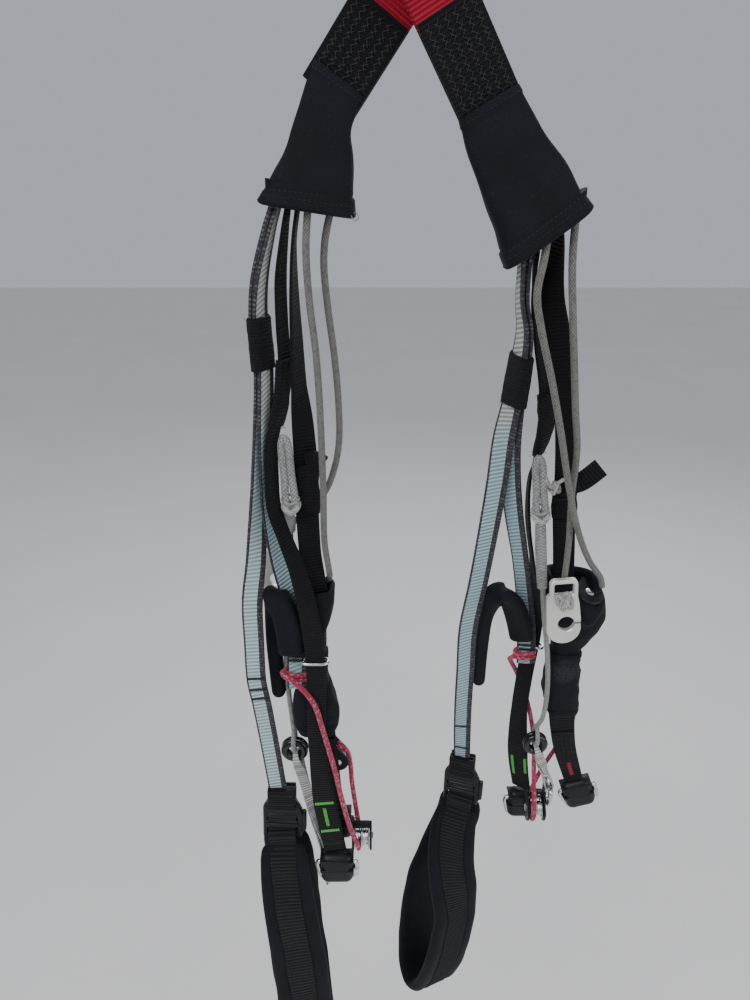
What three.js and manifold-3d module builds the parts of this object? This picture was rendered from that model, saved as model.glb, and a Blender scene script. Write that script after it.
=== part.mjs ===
// A pair of paraglider risers hung up by their carabiner loops, lines taken off.
// Millimetres, +Z up. The origin is the hang point, where both red carabiner loops meet.
// +X runs across the pair, +Y runs from the front of the pair to its back.
// Each riser is a fan of straps: control-handle strap, C strap, B strap and A strap.

import * as THREE from 'three';
import { mergeVertices } from 'three/addons/utils/BufferGeometryUtils.js';
import Module from 'manifold-3d';

const wasm = await Module();
wasm.setup();

// Webbing and cord sizes
const TRUNK_WIDTH = 28;
const TRUNK_THICK = 7;
const TAPE_WIDTH = 12;
const TAPE_THICK = 1.6;
const B_WIDTH_TOP = 11;
const B_WIDTH_END = 15;
const A_WIDTH = 12.6;
const TAIL_WIDTH_TOP = 18;
const TAIL_WIDTH_END = 13.5;
const SPEED_CORD_RADIUS = 1.8;
const BRIDGE_CORD_RADIUS = 1.6;
const SOFT_LOOP_RADIUS = 2.4;
const PINK_CORD_RADIUS = 1.6;
const SPLICE_RADIUS = 3.2;
const C_HANDLE_WIDTH = 17;
const C_HANDLE_FAR_WIDTH = 12;
const C_HANDLE_THICK = 5;
const WRAP_THICK = 4.4;
const KEEPER_OUTER = [15.4, 7.6];
const KEEPER_INNER = [13.4, 5.6];
const SEAT_GAP = 0.3;

// Neoprene covers
const SLEEVE_WALL = 3;
const SLEEVE_POCKET = 11;
const POUCH_WALL = 2.2;
const POUCH_POCKET = 5;
const POUCH_MOUTH = [13, 15, 13];

// Carabiner loop: a folded band that stands on the trunk's end
const EYE_HEIGHT = 35;
const EYE_HALF_DEPTH = 7;
const EYE_BAND = 2.6;
const EYE_SEAT_HALF = 2.5;

// Low-friction ring
const RING_OUTER = 8.6;
const RING_BORE = 3.4;
const RING_HALF_DEPTH = 3.6;

// Speed hook, measured down from the bar that its cord holds
const HOOK_THICK = 4;
const HOOK_HALF_WIDTH = 10;
const HOOK_DROP = 40;
const HOOK_HOLE_DROP = 26.5;
const HOOK_HOLE_RADIUS = 4.8;
const HOOK_HOLE_SHIFT = 1.5;
const HOOK_SLIT = 1.2;
const HOOK_FRAME_HALF = 8;
const HOOK_SHOULDER_DROP = 8;
const HOOK_CORNER = 3;
const HOOK_WINDOW = { half: 5.6, low: -6.6, top: 0.4 };
const HOOK_KNOT = [5.4, 3, 6];
const HOOK_KNOT_DROP = 11.5;

// Buckle, measured up from its lower bar
const BUCKLE_HALF_WIDTH = 13;
const BUCKLE_THICK = 4;
const TAPE_END_TOP = 40;
const TAPE_END_HALF_WIDTH = 7.2;
const BUCKLE_RAIL = 3.4;
const LOWER_BAR_RADIUS = 2;
const LOWER_SLOT_TOP = 8;
const UPPER_SLOT = [12.6, 16];

// Quick links and the boots on the risers' ends
const LINK_WIRE = 1.7;
const LINK_HALF_WIDTH = 13;
const RING_LINK_HALF_WIDTH = 7;
const LINK_DROP = 15;
const BOOT_HALF_WIDTH = 11;
const BOOT_DEPTH = 11;
const BOOT_HEIGHT = 15;

// Sheaves and pulleys
const POUCH_SHEAVE = { radius: 7, width: 7, bore: 1.5 };
const SMALL_SHEAVE = { radius: 6, width: 6, bore: 1.4 };
const TWIN_SHEAVE = { radius: 8, width: 9, bore: 1.6 };
const GROOVE_SHARE = 0.72;
const CHEEK_THICK = 1.6;
const CHEEK_MARGIN = 1.5;
const SHEAVE_CLEARANCE = 0.5;
const PIN_CLEARANCE = 0.3;

const COLOURS = {
  redWebbing: [0xa00828, 0.8, 0],
  blackWebbing: [0x17181c, 0.85, 0],
  neoprene: [0x151a26, 0.7, 0],
  tealWebbing: [0x7f979b, 0.8, 0],
  greyCord: [0x7b7a74, 0.8, 0],
  paleCord: [0xb9bab6, 0.8, 0],
  pinkCord: [0xb41e46, 0.8, 0],
  blackPlastic: [0x101114, 0.45, 0],
  ringBlack: [0x0c0d0f, 0.2, 0.6],
  steel: [0xc4c6c8, 0.22, 1],
  hookSilver: [0xe4e2dc, 0.35, 0.9],
  paleSheave: [0xb9c6cf, 0.35, 0.1],
};

const group = new THREE.Group();

// Orders a geometry's faces outwards and leaves one closed shell of shared vertices.
function closeShell(geometry) {
  geometry.deleteAttribute('normal');
  geometry.deleteAttribute('uv');
  const shell = mergeVertices(geometry, 1e-4);
  const place = shell.getAttribute('position');
  const index = shell.getIndex();
  const a = new THREE.Vector3();
  const b = new THREE.Vector3();
  const c = new THREE.Vector3();
  let volume = 0;
  for (let i = 0; i < index.count; i += 3) {
    a.fromBufferAttribute(place, index.getX(i));
    b.fromBufferAttribute(place, index.getX(i + 1));
    c.fromBufferAttribute(place, index.getX(i + 2));
    volume += a.dot(b.cross(c));
  }
  if (volume < 0) {
    for (let i = 0; i < index.count; i += 3) {
      const first = index.getX(i);
      index.setX(i, index.getX(i + 2));
      index.setX(i + 2, first);
    }
  }
  return shell;
}

function toSolid(geometry) {
  const shell = closeShell(geometry);
  const vertProperties = new Float32Array(shell.getAttribute('position').array);
  const triVerts = new Uint32Array(shell.getIndex().array);
  return new wasm.Manifold(new wasm.Mesh({ numProp: 3, vertProperties, triVerts }));
}

function fromSolid(solid) {
  const mesh = solid.getMesh();
  const geometry = new THREE.BufferGeometry();
  geometry.setAttribute('position', new THREE.BufferAttribute(new Float32Array(mesh.vertProperties), 3));
  geometry.setIndex(new THREE.BufferAttribute(new Uint32Array(mesh.triVerts), 1));
  return geometry;
}

function join(first, ...others) {
  let solid = toSolid(first);
  for (const other of others) solid = solid.add(toSolid(other));
  return fromSolid(solid);
}

function cut(first, ...others) {
  let solid = toSolid(first);
  for (const other of others) solid = solid.subtract(toSolid(other));
  return fromSolid(solid);
}

// Skins a row of rings that have the same number of points, with flat ends or round in a loop.
function loft(rings, looped = false) {
  const sides = rings[0].length;
  const points = rings.flat();
  const faces = [];
  const spans = looped ? rings.length : rings.length - 1;
  for (let i = 0; i < spans; i += 1) {
    const here = i * sides;
    const next = ((i + 1) % rings.length) * sides;
    for (let k = 0; k < sides; k += 1) {
      const m = (k + 1) % sides;
      faces.push(here + k, here + m, next + m);
      faces.push(here + k, next + m, next + k);
    }
  }
  if (!looped) {
    const last = (rings.length - 1) * sides;
    for (let k = 1; k < sides - 1; k += 1) {
      faces.push(0, k + 1, k);
      faces.push(last, last + k, last + k + 1);
    }
  }
  const geometry = new THREE.BufferGeometry().setFromPoints(points);
  geometry.setIndex(faces);
  return geometry;
}

function vectors(rows) {
  return rows.map(([x, y, z]) => new THREE.Vector3(x, y, z));
}

// The level direction of a strap's width: 0 degrees runs front to back, 90 across the pair.
function widthDirection(degrees, tangent) {
  const angle = THREE.MathUtils.degToRad(degrees);
  const level = new THREE.Vector3(Math.sin(angle), Math.cos(angle), 0);
  return level.addScaledVector(tangent, -level.dot(tangent)).normalize();
}

// A band's section in shares of its half width and half thickness.
const FLAT_SECTION = [[-1, -1], [1, -1], [1, 1], [-1, 1]];
const PADDED_SECTION = [
  [-1, -0.5], [-0.85, -1], [0.85, -1], [1, -0.5], [1, 0.5], [0.85, 1], [-0.85, 1], [-1, 0.5],
];

// A band along route rows of [x, y, z, twist in degrees]. Its width and thickness follow
// sizeAt(share of its length).
function strap(route, sizeAt, steps = 3, section = FLAT_SECTION) {
  const curve = new THREE.CatmullRomCurve3(vectors(route), false, 'centripetal');
  const count = (route.length - 1) * steps;
  const rings = [];
  for (let i = 0; i <= count; i += 1) {
    const share = i / count;
    const row = Math.min(Math.floor(share * (route.length - 1)), route.length - 2);
    const part = share * (route.length - 1) - row;
    const twist = THREE.MathUtils.lerp(route[row][3], route[row + 1][3], part);
    const middle = curve.getPoint(share);
    const tangent = curve.getTangent(share);
    const across = widthDirection(twist, tangent);
    const through = tangent.clone().cross(across);
    const [width, thick] = sizeAt(share);
    const corner = ([w, t]) => middle.clone()
      .addScaledVector(across, w * width / 2)
      .addScaledVector(through, t * thick / 2);
    rings.push(section.map(corner));
  }
  return loft(rings);
}

// A round cord or tube along route rows of [x, y, z].
function cord(route, radius, steps, sides = 8) {
  const section = [];
  for (let k = 0; k < sides; k += 1) {
    const angle = 2 * Math.PI * k / sides;
    section.push(new THREE.Vector2(radius * Math.cos(angle), radius * Math.sin(angle)));
  }
  const extrudePath = new THREE.CatmullRomCurve3(vectors(route), false, 'centripetal');
  return new THREE.ExtrudeGeometry(new THREE.Shape(section), { extrudePath, steps, bevelEnabled: false });
}

// A flat plate of an outline in X and Z, centred on Y = 0.
function plate(shape, thick, curveSegments = 8) {
  const geometry = new THREE.ExtrudeGeometry(shape, { depth: thick, bevelEnabled: false, curveSegments });
  geometry.translate(0, 0, -thick / 2);
  geometry.rotateX(Math.PI / 2);
  return geometry;
}

function outline(rows) {
  return new THREE.Shape(rows.map(([x, z]) => new THREE.Vector2(x, z)));
}

function hole(rows) {
  return new THREE.Path(rows.map(([x, z]) => new THREE.Vector2(x, z)));
}

function box(width, depth, height, x = 0, y = 0, z = 0) {
  return new THREE.BoxGeometry(width, depth, height).translate(x, y, z);
}

// An oval ring of points between two edge points, with its short half axis front to back.
function ovalRing(left, right, halfDepth, y, sides = 16) {
  const ring = [];
  const middle = [(left[0] + right[0]) / 2, (left[1] + right[1]) / 2];
  const half = [(right[0] - left[0]) / 2, (right[1] - left[1]) / 2];
  for (let k = 0; k < sides; k += 1) {
    const angle = 2 * Math.PI * k / sides;
    const across = Math.sign(Math.cos(angle)) * Math.abs(Math.cos(angle)) ** 0.6;
    const deep = Math.sign(Math.sin(angle)) * Math.abs(Math.sin(angle)) ** 0.6;
    ring.push(new THREE.Vector3(
      middle[0] + half[0] * across,
      y + halfDepth * deep,
      middle[1] + half[1] * across,
    ));
  }
  return ring;
}

function addPiece(name, geometry, colour, place = [0, 0, 0], turn = [0, 0, 0]) {
  const [color, roughness, metalness] = COLOURS[colour];
  const material = new THREE.MeshStandardMaterial({ color, roughness, metalness });
  const mesh = new THREE.Mesh(closeShell(geometry), material);
  mesh.name = name;
  mesh.position.set(...place);
  mesh.rotation.set(...turn.map(THREE.MathUtils.degToRad), 'ZYX');
  group.add(mesh);
}

// The band of the carabiner loop, its outline in depth and height, swept across the trunk's width.
function carabinerLoop() {
  const inner = EYE_HALF_DEPTH - EYE_BAND;
  const seat = EYE_HEIGHT - EYE_BAND;
  const shape = outline([
    [-TRUNK_THICK / 2, 0], [TRUNK_THICK / 2, 0], [EYE_HALF_DEPTH, 13], [EYE_HALF_DEPTH, 28],
    [5.6, 32.6], [2.6, EYE_HEIGHT], [-2.6, EYE_HEIGHT], [-5.6, 32.6], [-EYE_HALF_DEPTH, 28],
    [-EYE_HALF_DEPTH, 13],
  ]);
  shape.holes.push(hole([
    [-0.6, 6], [-inner, 14], [-inner, 28.5], [-EYE_SEAT_HALF, seat], [EYE_SEAT_HALF, seat],
    [inner, 28.5], [inner, 14], [0.6, 6],
  ]));
  return plate(shape, TRUNK_WIDTH).rotateZ(Math.PI / 2);
}

// A ring set in from the last or first row of a cover by a wall, and moved up by a lift.
function innerRing([xl, zl, xr, zr, depth, y], wall, lift) {
  const share = wall / Math.hypot(xr - xl, zr - zl);
  const left = [xl + (xr - xl) * share, zl + (zr - zl) * share + lift];
  const right = [xr - (xr - xl) * share, zr - (zr - zl) * share + lift];
  return ovalRing(left, right, depth - wall, y);
}

function outerRings(rows) {
  return rows.map(([xl, zl, xr, zr, depth, y]) => ovalRing([xl, zl], [xr, zr], depth, y));
}

// The neoprene sleeve: its outer skin down to the rolled hem, then up inside to a ceiling.
function sleeve(rows) {
  const hem = rows[rows.length - 1];
  return loft([
    ...outerRings(rows), innerRing(hem, 1.2, -1.4), innerRing(hem, SLEEVE_WALL - 0.8, -0.6),
    innerRing(hem, SLEEVE_WALL, SLEEVE_POCKET),
  ]);
}

// Where the sleeve's ceiling stands over a strap's end, with room for half its thickness.
function ceilingAt(rows, x, reach) {
  const [xl, zl, xr, zr] = rows[rows.length - 1];
  const slope = (zr - zl) / (xr - xl);
  return zl + (x - xl) * slope + SLEEVE_POCKET - Math.abs(slope) * reach - SEAT_GAP;
}

// Starts a route at the sleeve's ceiling, straight above its first row.
function fromSleeve(side, route, reach) {
  const [x, y, , ...twist] = route[0];
  return [[x, y, ceilingAt(side.sleeve, x, reach), ...twist], ...route];
}

// A neoprene pouch, open at the top down to a floor, with a rolled rim.
function pouch(rows, floorDepth) {
  const rim = rows[0];
  return loft([
    innerRing(rim, POUCH_WALL, -floorDepth), innerRing(rim, POUCH_WALL, 0.4), innerRing(rim, 1, 1.2),
    ...outerRings(rows),
  ]);
}

// A grooved wheel on the Y axis.
function wheel({ radius, width, bore }, grooves = 1) {
  const groove = radius * GROOVE_SHARE;
  const half = width / 2;
  const profile = [[bore, -half], [radius, -half]];
  for (let k = 0; k < grooves; k += 1) {
    const centre = -half + width * (k + 0.5) / grooves;
    const reach = width / grooves * 0.42;
    profile.push([radius, centre - reach], [groove, centre - reach * 0.5]);
    profile.push([groove, centre + reach * 0.5], [radius, centre + reach]);
  }
  profile.push([radius, half], [bore, half], [bore, -half]);
  return new THREE.LatheGeometry(profile.map(([r, z]) => new THREE.Vector2(r, z)), 20);
}

// Two cheeks, a pin between them and a neck that closes them, around a sheave on the Y axis.
function pulleyBody({ radius, width, bore }, neck, rise) {
  const cheekRadius = radius + CHEEK_MARGIN;
  const gap = width + 2 * SHEAVE_CLEARANCE;
  const solids = [];
  const shape = new THREE.Shape();
  shape.absarc(0, 0, cheekRadius, Math.PI, 2 * Math.PI, false);
  shape.lineTo(neck / 2 + 0.5, cheekRadius + rise);
  shape.lineTo(-neck / 2 - 0.5, cheekRadius + rise);
  for (const face of [-1, 1]) {
    solids.push(plate(shape, CHEEK_THICK).translate(0, face * (gap + CHEEK_THICK) / 2, 0));
  }
  const pin = new THREE.CylinderGeometry(bore - PIN_CLEARANCE, bore - PIN_CLEARANCE, gap + CHEEK_THICK, 12);
  const top = cheekRadius + rise;
  const low = Math.min(radius + 4.4, top - 2);
  const crown = box(neck, gap + CHEEK_THICK, top - low, 0, 0, (top + low) / 2);
  return join(solids[0], solids[1], pin, crown);
}

// The open hook on the speed system's end: a frame for the cord over a body with a slit hole.
function speedHook(knotFace) {
  const shape = new THREE.Shape();
  const low = -HOOK_DROP + HOOK_HALF_WIDTH;
  const corner = HOOK_FRAME_HALF - HOOK_CORNER;
  const opening = Math.asin(HOOK_SLIT / 2 / HOOK_HOLE_RADIUS);
  shape.moveTo(-HOOK_HALF_WIDTH, -HOOK_SHOULDER_DROP);
  shape.lineTo(-HOOK_HALF_WIDTH, low);
  shape.absarc(0, low, HOOK_HALF_WIDTH, Math.PI, 2 * Math.PI - 0.35, false);
  shape.lineTo(HOOK_HALF_WIDTH, low - 1);
  shape.lineTo(HOOK_HALF_WIDTH, -HOOK_HOLE_DROP - HOOK_SLIT / 2);
  shape.lineTo(HOOK_HOLE_SHIFT + HOOK_HOLE_RADIUS, -HOOK_HOLE_DROP - HOOK_SLIT / 2);
  shape.absarc(HOOK_HOLE_SHIFT, -HOOK_HOLE_DROP, HOOK_HOLE_RADIUS, -opening, opening - 2 * Math.PI, true);
  shape.lineTo(HOOK_HALF_WIDTH, -HOOK_HOLE_DROP + HOOK_SLIT / 2);
  shape.lineTo(HOOK_FRAME_HALF, -HOOK_SHOULDER_DROP);
  shape.lineTo(HOOK_FRAME_HALF, -2);
  shape.absarc(corner, 0, HOOK_CORNER, 0, Math.PI / 2, false);
  shape.lineTo(-corner, HOOK_CORNER);
  shape.absarc(-corner, 0, HOOK_CORNER, Math.PI / 2, Math.PI, false);
  shape.lineTo(-HOOK_FRAME_HALF, -2);
  const { half, low: sill, top } = HOOK_WINDOW;
  shape.holes.push(hole([[-half, sill], [-half, top], [half, top], [half, sill]]));
  const knot = new THREE.SphereGeometry(1, 12, 8).scale(...HOOK_KNOT);
  knot.translate(0, knotFace * (HOOK_THICK / 2 + 2), -HOOK_KNOT_DROP);
  return join(plate(shape, HOOK_THICK), knot);
}

// The buckle's plate, open below for the handle, and the round bar that the handle hangs on.
function buckle() {
  const half = BUCKLE_HALF_WIDTH;
  const inner = half - BUCKLE_RAIL;
  const [slotLow, slotTop] = UPPER_SLOT;
  const shape = outline([
    [-half, -LOWER_BAR_RADIUS], [-inner, -LOWER_BAR_RADIUS], [-inner, LOWER_SLOT_TOP],
    [inner, LOWER_SLOT_TOP], [inner, -LOWER_BAR_RADIUS], [half, -LOWER_BAR_RADIUS], [half, 2],
    [half + 3, 5], [half + 3.6, 12], [half + 1, 22], [10.5, 31], [7.6, 36],
    [TAPE_END_HALF_WIDTH, TAPE_END_TOP], [-TAPE_END_HALF_WIDTH, TAPE_END_TOP],
    [-7.6, 36], [-10.5, 31], [-half, 24],
  ]);
  shape.holes.push(hole([[-inner, slotLow], [inner, slotLow], [inner, slotTop], [-inner, slotTop]]));
  const bar = new THREE.CylinderGeometry(LOWER_BAR_RADIUS, LOWER_BAR_RADIUS, 2 * half - 1, 12);
  return join(plate(shape, BUCKLE_THICK), bar.rotateZ(Math.PI / 2));
}

// The padded control handle hangs as a closed loop from the buckle's lower bar.
// Rows: [half gap between the legs, height below the bar, width, thickness]
const HANDLE_ROWS = [
  [4.2, 2.6, 16.5, 3],
  [4.3, -2.4, 17, 3],
  [6.2, -6.6, 29, 4.5],
  [8, -14, 32, 6],
  [11, -28, 34, 6.5],
  [15, -50, 36, 7],
  [19, -78, 37, 7.5],
  [22, -110, 38, 8],
  [22, -145, 39, 8],
  [18, -178, 40, 8],
  [10, -203, 40, 8],
];
const HANDLE_TOP = [0, 4.9, 16.5, 3];
const HANDLE_BOTTOM = [0, -211, 40, 8];
const HANDLE_TWIST_SPAN = [-12, -110];

// A closed band from rows of [depth, height, width, thickness]. It turns about its long axis by
// a twist that grows between two heights.
function bandLoop(rows, steps, twist, [twistTop, twistEnd]) {
  const path = new THREE.CatmullRomCurve3(rows.map(([n, s]) => new THREE.Vector3(0, n, s)), true);
  const rings = [];
  for (let i = 0; i < rows.length * steps; i += 1) {
    const share = i / (rows.length * steps);
    const row = Math.floor(i / steps);
    const part = i / steps - row;
    const next = rows[(row + 1) % rows.length];
    const width = THREE.MathUtils.lerp(rows[row][2], next[2], part);
    const thick = THREE.MathUtils.lerp(rows[row][3], next[3], part);
    const middle = path.getPoint(share);
    const across = new THREE.Vector3(1, 0, 0);
    const through = path.getTangent(share).cross(across);
    const turn = THREE.MathUtils.degToRad(twist)
      * (1 - THREE.MathUtils.smoothstep(middle.z, twistEnd, twistTop));
    const corner = (w, t) => middle.clone()
      .addScaledVector(across, w * width / 2)
      .addScaledVector(through, t * thick / 2)
      .applyAxisAngle(new THREE.Vector3(0, 0, 1), turn);
    rings.push([
      corner(-1, -0.5), corner(-0.9, -1), corner(0.9, -1), corner(1, -0.5),
      corner(1, 0.5), corner(0.9, 1), corner(-0.9, 1), corner(-1, 0.5),
    ]);
  }
  return loft(rings, true);
}

// Mirrors half of a band's rows, from its top to its bottom, front to back.
function bothLegs(top, half, bottom) {
  const front = half.map(([n, s, w, t]) => [-n, s, w, t]);
  return [top, ...front, bottom, ...[...half].reverse()];
}

function controlHandle(twist) {
  return bandLoop(bothLegs(HANDLE_TOP, HANDLE_ROWS, HANDLE_BOTTOM), 2, twist, HANDLE_TWIST_SPAN);
}

// The pale loop from the low-friction ring's bore down to its quick link.
function ringLoop(length) {
  const half = [
    [3.6, -3.6, 3.6, 1.2], [5, -7, 5, 1.2], [3, -13, 6.5, 1.2], [1.4, -24, 6.5, 1.2],
    [1.4, -length + 14, 6.5, 1.2], [2.6, -length + 4, 5.5, 1.2], [2.4, -length - 1.2, 5, 1.2],
  ];
  const rows = bothLegs([0, -1.9, 3.2, 1.2], half, [0, -length - 2.8, 5, 1.2]);
  return bandLoop(rows, 3, 90, [-12, -length + 8]);
}

// A round cord in a closed loop, hung from its top, in the plane across the pair.
function softLoop(halfHeight) {
  const rows = [
    [-2.7, halfHeight - 3], [0, halfHeight], [2.7, halfHeight - 3], [2.9, 0], [2.7, 3 - halfHeight],
    [0, -halfHeight], [-2.7, 3 - halfHeight], [-2.9, 0],
  ];
  const curve = new THREE.CatmullRomCurve3(rows.map(([x, z]) => new THREE.Vector3(x, 0, z)), true);
  return closedCord(curve, SOFT_LOOP_RADIUS, 24, 8);
}

// The cord's eye around the low-friction ring's upper rim.
function ringEye() {
  const rows = [
    [0, 1.5], [5, 2.8], [6, 6.5], [3.5, 12], [0, 14.5], [-3.5, 12], [-6, 6.5], [-5, 2.8],
  ];
  const curve = new THREE.CatmullRomCurve3(rows.map(([y, z]) => new THREE.Vector3(0, y, z)), true);
  return closedCord(curve, BRIDGE_CORD_RADIUS - 0.1, 20, 8);
}

function closedCord(curve, radius, count, sides) {
  const frames = curve.computeFrenetFrames(count, true);
  const rings = [];
  for (let i = 0; i < count; i += 1) {
    const middle = curve.getPointAt(i / count);
    const ring = [];
    for (let k = 0; k < sides; k += 1) {
      const angle = 2 * Math.PI * k / sides;
      ring.push(middle.clone()
        .addScaledVector(frames.normals[i], radius * Math.cos(angle))
        .addScaledVector(frames.binormals[i], radius * Math.sin(angle)));
    }
    rings.push(ring);
  }
  return loft(rings, true);
}

// A quick link hung by its upper bar, with its nut, or with the boot over the strap's fold.
// A squared stretch of its lower bar is the flat seat for a line's loop.
function quickLink(wide, bootHeight) {
  const rows = [
    [3 - wide, 0], [wide - 3, 0], [wide, -3], [wide - 2, 3 - LINK_DROP], [wide - 6, -LINK_DROP],
    [6 - wide, -LINK_DROP], [2 - wide, 3 - LINK_DROP], [-wide, -3],
  ];
  const curve = new THREE.CatmullRomCurve3(
    rows.map(([x, z]) => new THREE.Vector3(x, 0, z)), true, 'catmullrom', 0.4,
  );
  const seat = box(6, 2 * LINK_WIRE, 2 * LINK_WIRE, 0, 0, -LINK_DROP);
  const link = join(closedCord(curve, LINK_WIRE, 24, 6), seat);
  if (!bootHeight) return join(link, box(5, 5, 6, wide - 1, 0, -7));
  const boot = plate(outline([
    [-BOOT_HALF_WIDTH, -4], [2 - BOOT_HALF_WIDTH, -6], [BOOT_HALF_WIDTH - 2, -6], [BOOT_HALF_WIDTH, -4],
    [BOOT_HALF_WIDTH, bootHeight - 9], [BOOT_HALF_WIDTH - 2, bootHeight - 6],
    [2 - BOOT_HALF_WIDTH, bootHeight - 6], [-BOOT_HALF_WIDTH, bootHeight - 9],
  ]), BOOT_DEPTH);
  return join(link, boot);
}

function lowFrictionRing() {
  const profile = [
    [RING_BORE, 0], [RING_BORE + 0.9, -RING_HALF_DEPTH + 0.8], [RING_BORE + 2.4, -RING_HALF_DEPTH],
    [RING_OUTER, -RING_HALF_DEPTH + 0.8], [RING_OUTER - 1.4, 0], [RING_OUTER, RING_HALF_DEPTH - 0.8],
    [RING_BORE + 2.4, RING_HALF_DEPTH], [RING_BORE + 0.9, RING_HALF_DEPTH - 0.8], [RING_BORE, 0],
  ];
  return new THREE.LatheGeometry(profile.map(([r, z]) => new THREE.Vector2(r, z)), 24);
}

// The black band that keeps the control-handle strap and the C strap together.
function keeper(route) {
  const [first, last] = route;
  const longer = [[first[0], first[1], first[2] + 2, first[3]], [last[0], last[1], last[2] - 2, last[3]]];
  return cut(strap(route, () => KEEPER_OUTER, 2), strap(longer, () => KEEPER_INNER, 2));
}

// The hollow in a pouch's mouth where its pulley lies.
function mouthSpace([x, y, z]) {
  const space = new THREE.SphereGeometry(1, 16, 10);
  space.scale(...POUCH_MOUTH);
  return space.translate(x, y, z);
}

// A small wire ring around the B strap.
function strapRing() {
  const rows = [[-7.4, 0], [-6.4, -2.3], [0, -3], [6.4, -2.3], [7.4, 0], [6.4, 2.3], [0, 3], [-6.4, 2.3]];
  const curve = new THREE.CatmullRomCurve3(rows.map(([x, y]) => new THREE.Vector3(x, y, 0)), true);
  return closedCord(curve, 1, 20, 6);
}

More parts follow.
